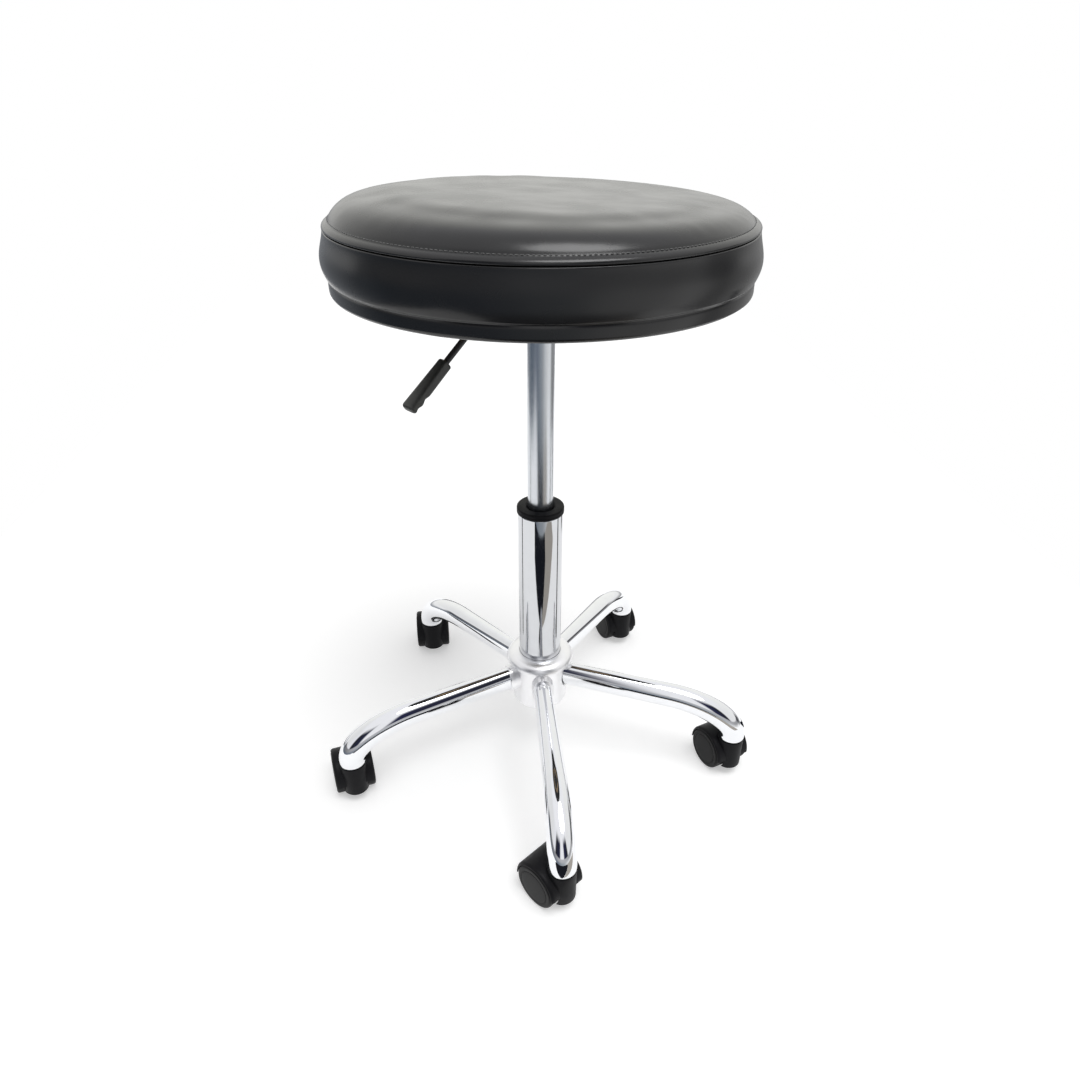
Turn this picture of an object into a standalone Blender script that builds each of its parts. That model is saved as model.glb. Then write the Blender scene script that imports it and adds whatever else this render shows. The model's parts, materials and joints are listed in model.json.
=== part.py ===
"""Rolling stool: a round padded seat on a gas lift, over five chromed legs with twin-wheel casters.

The model is in metres with +Z up. It stands on z = 0, and the middle of its footprint is the origin.
The first leg points along -Y. The seat is at the top of its travel.
"""

import math

import bmesh
import bpy
from mathutils import Matrix, Vector

MM = 0.001

# Clearances
FIT = 0.3 * MM
MERGE = 0.001 * MM
SHARP_EDGE = math.radians(35.0)

# Counts of flat sides on round pieces
SEAT_SIDES = 32
TUBE_SIDES = 24
WHEEL_SIDES = 18
ROD_SIDES = 16
LEG_SIDES = 12
PIN_SIDES = 10

# Casters
TRAIL = 18.0 * MM
WHEEL_RADIUS = 25.0 * MM
WHEEL_WIDTH = 17.0 * MM
WHEEL_CHAMFER = 2.2 * MM
WHEEL_ROUND = 5.0 * MM
WHEEL_ROUND_STEPS = 2
WHEEL_DISH_RADIUS = 17.0 * MM
WHEEL_DISH_DEPTH = 2.5 * MM
WHEEL_BOSS_RADIUS = 8.0 * MM
WHEEL_SIDE_GAP = 0.6 * MM
AXLE_RADIUS = 4.0 * MM
HOOD_WEB = 11.4 * MM
HOOD_ROOF_GAP = 1.2 * MM
HOOD_WALL = 1.6 * MM
HOOD_LOBE_WALL = 15.5 * MM
HOOD_NOSE_RADIUS = 15.3 * MM
HOOD_NOSE_FLOOR_Z = 12.0 * MM
STEM_NECK_RADIUS = 4.0 * MM
STEM_NECK_LENGTH = 22.0 * MM
STEM_COLLAR_RADIUS = 8.0 * MM
STEM_COLLAR_HEIGHT = 1.3 * MM
STEM_RADIUS = 5.5 * MM
STEM_LENGTH = 18.0 * MM
STEM_TIP_CHAMFER = 1.0 * MM
CASTER_HEADINGS = (128.4, 111.4, 109.4, 92.4, 104.4)

# Legs and the plastic sockets in their tips
LEG_COUNT = 5
LEG_REACH = 241.0 * MM
LEG_SLOPE = math.radians(4.6)
LEG_BEND_LENGTH = 80.0 * MM
LEG_BEND_DROP = 39.15 * MM
LEG_TIP_STRAIGHT = 3.2 * MM
LEG_ROOT_WIDTH = 21.0 * MM
LEG_ROOT_HEIGHT = 30.0 * MM
LEG_TIP_DIAMETER = 31.0 * MM
LEG_WALL = 1.5 * MM
LEG_STRAIGHT_STEPS = 3
LEG_BEND_STEPS = 6
SOCKET_PLUG_HEIGHT = 3.0 * MM
SOCKET_SLEEVE_WALL = 2.2 * MM

# Hub
HUB_RADIUS = 33.0 * MM
HUB_BELOW_LEGS = 21.5 * MM
HUB_FOOT_CHAMFER = 2.0 * MM
HUB_COLLAR_OVERHANG = 7.5 * MM
HUB_COLLAR_FLARE = 5.0 * MM
HUB_COLLAR_DOME = 11.0 * MM
HUB_MOUTH_LAND = 1.2 * MM
HUB_DOME_STEPS = 4
POCKET_DEPTH = 5.0 * MM
POCKET_SIDE_GAP = 2.5 * MM

# Gas lift
COLUMN_RADIUS = 25.0 * MM
COLUMN_FOOT_RADIUS = 23.6 * MM
COLUMN_WALL = 2.2 * MM
COLUMN_FLOOR = 3.0 * MM
COLUMN_SETBACK = 2.0 * MM
COLUMN_EXPOSED = 191.0 * MM
BUSH_FLANGE_HEIGHT = 7.0 * MM
BUSH_FLANGE_LIP = 1.2 * MM
BUSH_FLANGE_CHAMFER = 1.2 * MM
BUSH_SLEEVE_LENGTH = 62.0 * MM
LIFT_STROKE = 165.0 * MM
LIFT_BUMP_GAP = 6.0 * MM
CYLINDER_RADIUS = 14.0 * MM
CYLINDER_WALL = 2.0 * MM
CYLINDER_BUSH_OVERLAP = 65.0 * MM
CYLINDER_LENGTH = 283.5 * MM
CYLINDER_TAPER = 1.0 * MM
GLAND_HEIGHT = 12.0 * MM
CYLINDER_CAP = 18.0 * MM
ROD_RADIUS = 5.0 * MM
ROD_END_RADIUS = 3.5 * MM
ROD_GROOVE_DEPTH = 1.1 * MM
ROD_TAIL = 4.0 * MM
ROD_RIVET_RADIUS = 4.8 * MM
ROD_RIVET_HEIGHT = 2.5 * MM
ROD_SHOULDER_RADIUS = 8.0 * MM
ROD_SHOULDER_HEIGHT = 2.5 * MM
PISTON_HEIGHT = 12.0 * MM
PISTON_STAND_OFF = 7.0 * MM
CLIP_THICKNESS = 1.2 * MM
CLIP_RADIUS = 8.5 * MM
CLIP_MOUTH = math.radians(70.0)
CLIP_STEPS = 10
WASHER_RADIUS = 15.0 * MM
WASHER_HEIGHT = 2.0 * MM
BEARING_RADIUS = 14.0 * MM
BEARING_HEIGHT = 5.0 * MM
BUFFER_RADIUS = 13.0 * MM
BUFFER_WAIST = 1.5 * MM

# Seat mechanism
LEVER_HEADING = math.radians(219.4)
SOCKET_WALL = 3.7 * MM
SOCKET_LENGTH = 27.5 * MM
SOCKET_TOP_SETBACK = 1.0 * MM
HOUSING_INNER_WIDTH = 46.0 * MM
HOUSING_WALL = 3.0 * MM
HOUSING_DEPTH = 36.0 * MM
HOUSING_BACK = 45.0 * MM
HOUSING_FRONT = 55.0 * MM
PLATE_SIDE = 152.0 * MM
PLATE_CORNER = 10.0 * MM
PLATE_THICKNESS = 2.5 * MM
PLATE_ABOVE_PIVOT = 11.0 * MM
SCREW_SPACING = 120.0 * MM
SCREW_RADIUS = 2.8 * MM
SCREW_BITE = 9.0 * MM
SCREW_HEAD_RADIUS = 5.5 * MM
SCREW_CROWN_RADIUS = 3.85 * MM
SCREW_HEAD_HEIGHT = 3.4 * MM
RELEASE_PIN_RADIUS = 3.0 * MM
RELEASE_PIN_TIP_RADIUS = 1.6 * MM
RELEASE_PIN_DOME = 1.0 * MM
RELEASE_PIN_RISE = 4.2 * MM
RELEASE_PIN_TAIL = 7.0 * MM
LEVER_ROD_RADIUS = 3.0 * MM
LEVER_PIVOT_OFFSET = 30.0 * MM
LEVER_TOE = 6.0 * MM
LEVER_BEND_AT = 67.5 * MM
LEVER_DROP = math.radians(36.4)
LEVER_BEND_RADIUS = 14.0 * MM
LEVER_BEND_STEPS = 4
LEVER_BARE_LENGTH = 64.0 * MM
PIVOT_RADIUS = 3.0 * MM
PIVOT_HEAD_RADIUS = 4.6 * MM
PIVOT_HEAD_HEIGHT = 2.0 * MM
PIVOT_SLEEVE_WALL = 2.7 * MM
PIVOT_SLEEVE_LENGTH = 22.0 * MM
GRIP_LENGTH = 55.0 * MM
GRIP_ROOT_WIDTH = 10.5 * MM
GRIP_TIP_WIDTH = 16.0 * MM
GRIP_THICKNESS = 11.0 * MM
GRIP_TIP_THICKNESS = 9.0 * MM
GRIP_BITE = 34.0 * MM
GRIP_SCALLOP_DEPTH = 1.6 * MM
GRIP_SCALLOP_LENGTH = 22.0 * MM
GRIP_SCALLOPS = 2
GRIP_STEPS = 14

# Seat
SEAT_RADIUS = 194.6 * MM
SEAT_FOOT_INSET = 4.0 * MM
SEAT_FOOT_ROUND = 4.2 * MM
BOARD_THICKNESS = 12.0 * MM
SKIN = 1.6 * MM
SKIN_RETURN = 15.0 * MM
SEAM_HEIGHT = 55.1 * MM
SEAM_INSET = 2.4 * MM
SEAM_LIP = 1.5 * MM
BAND_BULGE = 4.9 * MM
BAND_BULGE_BIAS = 1.35
BAND_STEPS = 6
HEM_WIDTH = 4.8 * MM
HEM_RISE = 4.2 * MM
HEM_PUFF = 0.9 * MM
STITCH_DIP = 0.7 * MM
STITCH_WIDTH = 2.0 * MM
CROWN_RISE = 25.0 * MM
CROWN_POWER = 3.6
CROWN_STEPS = 5
DUST_COVER_THICKNESS = 1.2 * MM
DUST_COVER_MARGIN = 4.0 * MM

# Heights and places worked out from the sizes above
WHEEL_TIP_RADIUS = WHEEL_RADIUS / math.cos(math.pi / WHEEL_SIDES)
HOOD_INNER_RADIUS = WHEEL_TIP_RADIUS + HOOD_ROOF_GAP
HOOD_OUTER_RADIUS = HOOD_INNER_RADIUS + HOOD_WALL
HOOD_TOP_Z = WHEEL_RADIUS + HOOD_OUTER_RADIUS
HOOD_HALF_WIDTH = HOOD_WEB / 2 + WHEEL_SIDE_GAP + WHEEL_WIDTH
RIM_Z = HOOD_TOP_Z + FIT + STEM_COLLAR_HEIGHT + FIT
LEG_BEND_END_Z = RIM_Z + LEG_TIP_STRAIGHT
LEG_BEND_START_X = LEG_REACH - LEG_BEND_LENGTH
LEG_ROOT_X = HUB_RADIUS - POCKET_DEPTH + FIT
HUB_LEG_Z = LEG_BEND_END_Z + LEG_BEND_DROP + (LEG_REACH - HUB_RADIUS) * math.tan(LEG_SLOPE)
HUB_BOTTOM_Z = HUB_LEG_Z - LEG_ROOT_HEIGHT / 2 - HUB_BELOW_LEGS
HUB_SHOULDER_Z = HUB_LEG_Z + LEG_ROOT_HEIGHT / 2 + POCKET_SIDE_GAP + POCKET_DEPTH * math.tan(LEG_SLOPE)
HUB_COLLAR_Z = HUB_SHOULDER_Z + HUB_COLLAR_FLARE
HUB_TOP_Z = HUB_COLLAR_Z + HUB_COLLAR_DOME
COLUMN_FOOT_Z = HUB_BOTTOM_Z + COLUMN_SETBACK
COLUMN_TOP_Z = HUB_TOP_Z + COLUMN_EXPOSED
COLUMN_INNER_RADIUS = COLUMN_RADIUS - COLUMN_WALL
BUSH_TOP_Z = COLUMN_TOP_Z + FIT + BUSH_FLANGE_HEIGHT
WASHER_Z = COLUMN_FOOT_Z + COLUMN_FLOOR + FIT
BEARING_Z = WASHER_Z + WASHER_HEIGHT + FIT
ROD_SHOULDER_Z = BEARING_Z + BEARING_HEIGHT + FIT
BUFFER_Z = ROD_SHOULDER_Z + ROD_SHOULDER_HEIGHT + FIT
CYLINDER_BOTTOM_Z = BUSH_TOP_Z - CYLINDER_BUSH_OVERLAP
BUFFER_TOP_Z = CYLINDER_BOTTOM_Z - LIFT_STROKE - LIFT_BUMP_GAP
CYLINDER_TOP_Z = CYLINDER_BOTTOM_Z + CYLINDER_LENGTH
PISTON_Z = CYLINDER_BOTTOM_Z + GLAND_HEIGHT + PISTON_STAND_OFF
CYLINDER_TIP_RADIUS = CYLINDER_RADIUS - CYLINDER_TAPER
SOCKET_TOP_Z = CYLINDER_TOP_Z - SOCKET_TOP_SETBACK
SOCKET_BOTTOM_Z = SOCKET_TOP_Z - SOCKET_LENGTH
RELEASE_PIN_TOP_Z = CYLINDER_TOP_Z + RELEASE_PIN_RISE
PIVOT_Z = RELEASE_PIN_TOP_Z + FIT + LEVER_ROD_RADIUS
PLATE_Z = PIVOT_Z + PLATE_ABOVE_PIVOT
HOUSING_TOP_Z = PLATE_Z - FIT
BOARD_Z = PLATE_Z + PLATE_THICKNESS + FIT
BOARD_TOP_Z = BOARD_Z + BOARD_THICKNESS
SEAT_BOTTOM_Z = BOARD_Z - FIT - SKIN
SEAM_Z = SEAT_BOTTOM_Z + SEAM_HEIGHT
SEAT_FOOT_RADIUS = SEAT_RADIUS - SEAT_FOOT_INSET
SEAM_RADIUS = SEAT_RADIUS - SEAM_INSET
HEM_RADIUS = SEAT_RADIUS - HEM_WIDTH
HEM_Z = SEAM_Z + SEAM_LIP + HEM_RISE
BOARD_RADIUS = SEAT_RADIUS - SKIN - FIT


def clear_scene():
    """Remove every object that the scene starts with."""
    for thing in list(bpy.data.objects):
        bpy.data.objects.remove(thing, do_unlink=True)


def finish_material(name, colour, roughness, metallic):
    """Make a material with one Principled BSDF.

    The name is the finish's own, the colour is linear red, green and blue.
    """
    material = bpy.data.materials.new(name)
    material.use_nodes = True
    shader = material.node_tree.nodes["Principled BSDF"]
    shader.inputs["Base Color"].default_value = (*colour, 1.0)
    shader.inputs["Roughness"].default_value = roughness
    shader.inputs["Metallic"].default_value = metallic
    return material


def make_finishes():
    """Make every finish of the stool, by name."""
    return {
        "chrome": finish_material("chrome", (0.78, 0.79, 0.82), 0.08, 1.0),
        "satin_chrome": finish_material("satin_chrome", (0.62, 0.65, 0.70), 0.25, 1.0),
        "steel": finish_material("steel", (0.45, 0.46, 0.48), 0.4, 1.0),
        "black_steel": finish_material("black_steel", (0.015, 0.015, 0.016), 0.45, 0.0),
        "black_plastic": finish_material("black_plastic", (0.012, 0.012, 0.013), 0.5, 0.0),
        "wheel_plastic": finish_material("wheel_plastic", (0.014, 0.014, 0.015), 0.6, 0.0),
        "rubber": finish_material("rubber", (0.02, 0.02, 0.02), 0.8, 0.0),
        "vinyl": finish_material("vinyl", (0.012, 0.012, 0.014), 0.3, 0.0),
        "foam": finish_material("foam", (0.72, 0.66, 0.45), 0.9, 0.0),
        "plywood": finish_material("plywood", (0.48, 0.31, 0.16), 0.7, 0.0),
        "dust_cloth": finish_material("dust_cloth", (0.018, 0.018, 0.018), 0.95, 0.0),
    }


def mesh_from(shape, name):
    """Turn a bmesh into a mesh with its faces outward and its round faces smooth."""
    bmesh.ops.recalc_face_normals(shape, faces=shape.faces)
    mesh = bpy.data.meshes.new(name)
    shape.to_mesh(mesh)
    shape.free()
    smooth(mesh)
    return mesh


def smooth(mesh):
    """Shade round faces smooth and keep the sharp edges sharp."""
    mesh.shade_smooth()
    mesh.set_sharp_from_angle(angle=SHARP_EDGE)


def turned(name, outline, sides, closed=True, start=0.0):
    """Turn an outline of (radius, height) points about +Z.

    An open outline starts and ends on the axis. The first side starts at the angle start.
    """
    shape = bmesh.new()
    spin_start = Matrix.Rotation(start, 3, "Z")
    points = [shape.verts.new(spin_start @ Vector((radius, 0.0, height))) for radius, height in outline]
    pairs = list(zip(points, points[1:]))
    if closed:
        pairs.append((points[-1], points[0]))
    edges = [shape.edges.new(pair) for pair in pairs]
    bmesh.ops.spin(
        shape,
        geom=points + edges,
        cent=(0.0, 0.0, 0.0),
        axis=(0.0, 0.0, 1.0),
        angle=math.tau,
        steps=sides,
        use_merge=True,
    )
    bmesh.ops.remove_doubles(shape, verts=shape.verts, dist=MERGE)
    return mesh_from(shape, name)


def lofted(name, rings, cyclic=False):
    """Skin rings of points that have the same count, closing the ends or, if cyclic, the row of rings."""
    shape = bmesh.new()
    loops = [[shape.verts.new(point) for point in ring] for ring in rings]
    pairs = list(zip(loops, loops[1:]))
    if cyclic:
        pairs.append((loops[-1], loops[0]))
    else:
        shape.faces.new(loops[0])
        shape.faces.new(loops[-1])
    for near, far in pairs:
        for index, point in enumerate(near):
            after = (index + 1) % len(near)
            shape.faces.new((point, near[after], far[after], far[index]))
    return mesh_from(shape, name)


def extruded_z(name, outline, low, high):
    """Extrude an outline of (x, y) points from one height to another."""
    return lofted(name, [[(x, y, z) for x, y in outline] for z in (low, high)])


def extruded_y(name, outline, half_width):
    """Extrude an outline of (x, z) points to both sides of the middle plane."""
    return lofted(name, [[(x, y, z) for x, z in outline] for y in (-half_width, half_width)])


def extruded_x(name, outline, low, high):
    """Extrude an outline of (y, z) points from one x to another."""
    return lofted(name, [[(x, y, z) for y, z in outline] for x in (low, high)])


def peg(name, radius, low, high, sides):
    """Make a plain round peg on the Z axis."""
    return turned(name, [(0.0, low), (radius, low), (radius, high), (0.0, high)], sides, closed=False)


def moved(mesh, matrix):
    """Move a mesh by a matrix and give it back."""
    mesh.transform(matrix)
    return mesh


def along_y(mesh):
    """Lay a mesh that was turned about +Z along +Y, with its own +X kept."""
    return moved(mesh, Matrix.Rotation(-math.pi / 2, 4, "X"))


def combined(mesh, tool, operation):
    """Join a mesh with a tool mesh, or cut it by the tool, and give back the result."""
    body = bpy.data.objects.new("body", mesh)
    other = bpy.data.objects.new("tool", tool)
    modifier = body.modifiers.new("combine", "BOOLEAN")
    modifier.operation = operation
    modifier.solver = "EXACT"
    modifier.object = other
    for thing in (body, other):
        bpy.context.scene.collection.objects.link(thing)
    graph = bpy.context.evaluated_depsgraph_get()
    result = bpy.data.meshes.new_from_object(body.evaluated_get(graph))
    for thing in (body, other):
        bpy.data.objects.remove(thing, do_unlink=True)
    for used in (mesh, tool):
        bpy.data.meshes.remove(used)
    smooth(result)
    return result


def joint_frame(name, parent=None, location=(0.0, 0.0, 0.0), turn=0.0):
    """Make an empty that carries the pieces of one body."""
    frame = bpy.data.objects.new(name, None)
    frame.parent = parent
    frame.location = location
    frame.rotation_euler = (0.0, 0.0, turn)
    bpy.context.scene.collection.objects.link(frame)
    return frame


def place(name, mesh, finish, parent, location=(0.0, 0.0, 0.0), turn=0.0):
    """Make one named piece from a mesh, which may be shared."""
    piece = bpy.data.objects.new(name, mesh)
    if not mesh.materials:
        mesh.materials.append(finish)
    piece.parent = parent
    piece.location = location
    piece.rotation_euler = (0.0, 0.0, turn)
    bpy.context.scene.collection.objects.link(piece)
    return piece


def arc_points(centre, radius, start, end, steps):
    """Give the points of an arc in a plane, both ends included."""
    angles = [start + (end - start) * step / steps for step in range(steps + 1)]
    return [(centre[0] + radius * math.cos(angle), centre[1] + radius * math.sin(angle)) for angle in angles]


def column_radius_at(height):
    """Give the column's outer radius on its tapered foot."""
    share = (height - COLUMN_FOOT_Z) / (HUB_TOP_Z - COLUMN_FOOT_Z)
    return COLUMN_FOOT_RADIUS + (COLUMN_RADIUS - COLUMN_FOOT_RADIUS) * share


def leg_height_at(reach):
    """Give the height of a leg's centre line on its straight run."""
    return HUB_LEG_Z - (reach - HUB_RADIUS) * math.tan(LEG_SLOPE)


def leg_ring(reach, height, pitch, inset):
    """Give one oval section of a leg, square to the pitch of its path.

    The oval changes evenly from root to tip. The inset is how far the section lies inside the outer face.
    """
    share = (reach - LEG_ROOT_X) / (LEG_REACH - LEG_ROOT_X)
    half_width = (LEG_ROOT_WIDTH + (LEG_TIP_DIAMETER - LEG_ROOT_WIDTH) * share) / 2 - inset
    half_height = (LEG_ROOT_HEIGHT + (LEG_TIP_DIAMETER - LEG_ROOT_HEIGHT) * share) / 2 - inset
    ring = []
    for side in range(LEG_SIDES):
        angle = math.tau * side / LEG_SIDES
        rise = half_height * math.sin(angle)
        ring.append((
            reach - rise * math.sin(pitch),
            half_width * math.cos(angle),
            height + rise * math.cos(pitch),
        ))
    return ring


def leg_stations():
    """List a leg's sections from root to tip as (reach, height, pitch): a straight run, then a long bend."""
    stations = [(LEG_ROOT_X, leg_height_at(LEG_ROOT_X), 0.0)]
    for step in range(1, LEG_STRAIGHT_STEPS + 1):
        reach = LEG_ROOT_X + (LEG_BEND_START_X - LEG_ROOT_X) * step / LEG_STRAIGHT_STEPS
        stations.append((reach, leg_height_at(reach), -LEG_SLOPE))
    for step in range(1, LEG_BEND_STEPS + 1):
        turn = math.pi / 2 * step / LEG_BEND_STEPS
        reach = LEG_BEND_START_X + LEG_BEND_LENGTH * math.sin(turn)
        height = leg_height_at(reach) - LEG_BEND_DROP * (1.0 - math.cos(turn))
        along = LEG_BEND_LENGTH * math.cos(turn)
        down = LEG_BEND_DROP * math.sin(turn) + along * math.tan(LEG_SLOPE)
        stations.append((reach, height, -math.atan2(down, along)))
    stations.append((LEG_REACH, RIM_Z, -math.pi / 2))
    return stations


def leg_mesh():
    """Make one leg along +X: an oval tube, open at both ends, that bends down into its tip."""
    stations = leg_stations()
    outer = [leg_ring(*station, 0.0) for station in stations]
    inner = [leg_ring(*station, LEG_WALL) for station in reversed(stations)]
    return lofted("leg", outer + inner, cyclic=True)


def hub_mesh():
    """Make the hub: a sleeve with a domed collar, a tapered bore and a pocket for each leg."""
    mouth_radius = COLUMN_RADIUS + FIT + HUB_MOUTH_LAND
    collar_radius = HUB_RADIUS + HUB_COLLAR_OVERHANG
    outline = [
        (column_radius_at(HUB_BOTTOM_Z) + FIT, HUB_BOTTOM_Z),
        (HUB_RADIUS - HUB_FOOT_CHAMFER, HUB_BOTTOM_Z),
        (HUB_RADIUS, HUB_BOTTOM_Z + HUB_FOOT_CHAMFER),
        (HUB_RADIUS, HUB_SHOULDER_Z),
    ]
    for step in range(HUB_DOME_STEPS + 1):
        angle = math.pi / 2 * step / HUB_DOME_STEPS
        outline.append((
            mouth_radius + (collar_radius - mouth_radius) * math.cos(angle),
            HUB_COLLAR_Z + HUB_COLLAR_DOME * math.sin(angle),
        ))
    outline.append((column_radius_at(HUB_TOP_Z) + FIT, HUB_TOP_Z))
    hub = turned("hub", outline, TUBE_SIDES)
    floor_x = LEG_ROOT_X - FIT
    mouth_x = HUB_RADIUS + HUB_COLLAR_OVERHANG
    for leg in range(LEG_COUNT):
        rings = [leg_ring(x, leg_height_at(x), 0.0, -POCKET_SIDE_GAP) for x in (floor_x, mouth_x)]
        pocket = moved(lofted("pocket", rings), Matrix.Rotation(leg_angle(leg), 4, "Z"))
        hub = combined(hub, pocket, "DIFFERENCE")
    return hub


def leg_angle(leg):
    """Give a leg's direction about the column, the first along -Y."""
    return -math.pi / 2 + math.tau * leg / LEG_COUNT


def stem_socket_mesh():
    """Make the plastic socket that plugs a leg's tip and takes a caster stem."""
    bore = STEM_RADIUS + FIT
    plug = LEG_TIP_DIAMETER / 2 - LEG_WALL - FIT
    sleeve = bore + SOCKET_SLEEVE_WALL
    top = RIM_Z + STEM_LENGTH
    outline = [
        (bore, RIM_Z),
        (plug, RIM_Z),
        (plug, RIM_Z + SOCKET_PLUG_HEIGHT),
        (sleeve, RIM_Z + SOCKET_PLUG_HEIGHT),
        (sleeve, top),
        (bore, top),
    ]
    return turned("stem_socket", outline, LEG_SIDES)


def column_mesh():
    """Make the stand tube, with its tapered foot and a floor with a hole for the rod."""
    hole = ROD_RADIUS + FIT
    floor_top = COLUMN_FOOT_Z + COLUMN_FLOOR
    outline = [
        (hole, COLUMN_FOOT_Z),
        (COLUMN_FOOT_RADIUS, COLUMN_FOOT_Z),
        (COLUMN_RADIUS, HUB_TOP_Z),
        (COLUMN_RADIUS, COLUMN_TOP_Z),
        (COLUMN_INNER_RADIUS, COLUMN_TOP_Z),
        (COLUMN_INNER_RADIUS, HUB_TOP_Z),
        (column_radius_at(floor_top) - COLUMN_WALL, floor_top),
        (hole, floor_top),
    ]
    return turned("column", outline, TUBE_SIDES)


def guide_bush_mesh():
    """Make the plastic guide in the column's mouth, with its flange on the rim."""
    bore = CYLINDER_RADIUS + FIT
    flange = COLUMN_RADIUS + BUSH_FLANGE_LIP
    seat_z = COLUMN_TOP_Z + FIT
    sleeve = COLUMN_INNER_RADIUS - FIT
    outline = [
        (bore, seat_z - BUSH_SLEEVE_LENGTH),
        (sleeve, seat_z - BUSH_SLEEVE_LENGTH),
        (sleeve, seat_z),
        (flange, seat_z),
        (flange, BUSH_TOP_Z - BUSH_FLANGE_CHAMFER),
        (flange - BUSH_FLANGE_CHAMFER, BUSH_TOP_Z),
        (bore, BUSH_TOP_Z),
    ]
    return turned("guide_bush", outline, TUBE_SIDES)


def ring_mesh(name, inner, outer, low, high, sides):
    """Make a flat ring."""
    return turned(name, [(inner, low), (outer, low), (outer, high), (inner, high)], sides)


def buffer_mesh():
    """Make the rubber buffer round the rod, with a drawn-in waist."""
    bore = ROD_RADIUS + FIT
    outline = [
        (bore, BUFFER_Z),
        (BUFFER_RADIUS, BUFFER_Z),
        (BUFFER_RADIUS - BUFFER_WAIST, (BUFFER_Z + BUFFER_TOP_Z) / 2),
        (BUFFER_RADIUS, BUFFER_TOP_Z),
        (bore, BUFFER_TOP_Z),
    ]
    return turned("buffer", outline, ROD_SIDES)


def piston_rod_mesh():
    """Make the piston rod, with its clip groove, its shoulder and the riveted end above the piston."""
    groove_radius = ROD_RADIUS - ROD_GROOVE_DEPTH
    groove_top = COLUMN_FOOT_Z
    groove_bottom = groove_top - FIT - CLIP_THICKNESS - FIT
    rivet_z = PISTON_Z + PISTON_HEIGHT + FIT
    outline = [
        (0.0, groove_bottom - ROD_TAIL),
        (ROD_RADIUS, groove_bottom - ROD_TAIL),
        (ROD_RADIUS, groove_bottom),
        (groove_radius, groove_bottom),
        (groove_radius, groove_top),
        (ROD_RADIUS, groove_top),
        (ROD_RADIUS, ROD_SHOULDER_Z),
        (ROD_SHOULDER_RADIUS, ROD_SHOULDER_Z),
        (ROD_SHOULDER_RADIUS, ROD_SHOULDER_Z + ROD_SHOULDER_HEIGHT),
        (ROD_RADIUS, ROD_SHOULDER_Z + ROD_SHOULDER_HEIGHT),
        (ROD_RADIUS, PISTON_Z - FIT),
        (ROD_END_RADIUS, PISTON_Z - FIT),
        (ROD_END_RADIUS, rivet_z),
        (ROD_RIVET_RADIUS, rivet_z),
        (ROD_RIVET_RADIUS, rivet_z + ROD_RIVET_HEIGHT),
        (0.0, rivet_z + ROD_RIVET_HEIGHT),
    ]
    return turned("piston_rod", outline, ROD_SIDES, closed=False)


def rod_clip_mesh():
    """Make the open spring clip that sits in the rod's groove under the column's floor."""
    inner = ROD_RADIUS - ROD_GROOVE_DEPTH + FIT
    start = CLIP_MOUTH / 2
    end = math.tau - CLIP_MOUTH / 2
    outline = arc_points((0.0, 0.0), CLIP_RADIUS, start, end, CLIP_STEPS)
    outline += arc_points((0.0, 0.0), inner, end, start, CLIP_STEPS)
    top = COLUMN_FOOT_Z - FIT
    return extruded_z("rod_clip", outline, top - CLIP_THICKNESS, top)


def gas_cylinder_mesh():
    """Make the pressure tube: a gland round the rod, a hollow, and a tapered cap with the pin's bore."""
    inner = CYLINDER_RADIUS - CYLINDER_WALL
    rod_hole = ROD_RADIUS + FIT
    pin_hole = RELEASE_PIN_RADIUS + FIT
    outline = [
        (rod_hole, CYLINDER_BOTTOM_Z),
        (CYLINDER_RADIUS, CYLINDER_BOTTOM_Z),
        (CYLINDER_RADIUS, SOCKET_BOTTOM_Z),
        (CYLINDER_TIP_RADIUS, CYLINDER_TOP_Z),
        (pin_hole, CYLINDER_TOP_Z),
        (pin_hole, CYLINDER_TOP_Z - CYLINDER_CAP),
        (inner - CYLINDER_TAPER, CYLINDER_TOP_Z - CYLINDER_CAP),
        (inner, SOCKET_BOTTOM_Z),
        (inner, CYLINDER_BOTTOM_Z + GLAND_HEIGHT),
        (rod_hole, CYLINDER_BOTTOM_Z + GLAND_HEIGHT),
    ]
    return turned("gas_cylinder", outline, TUBE_SIDES)


def release_pin_mesh():
    """Make the valve pin in the cylinder's cap, with its tip under the lever's toe."""
    outline = [
        (0.0, CYLINDER_TOP_Z - CYLINDER_CAP - RELEASE_PIN_TAIL),
        (RELEASE_PIN_RADIUS, CYLINDER_TOP_Z - CYLINDER_CAP - RELEASE_PIN_TAIL),
        (RELEASE_PIN_RADIUS, RELEASE_PIN_TOP_Z - RELEASE_PIN_DOME),
        (RELEASE_PIN_TIP_RADIUS, RELEASE_PIN_TOP_Z),
        (0.0, RELEASE_PIN_TOP_Z),
    ]
    return turned("release_pin", outline, PIN_SIDES, closed=False)


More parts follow.
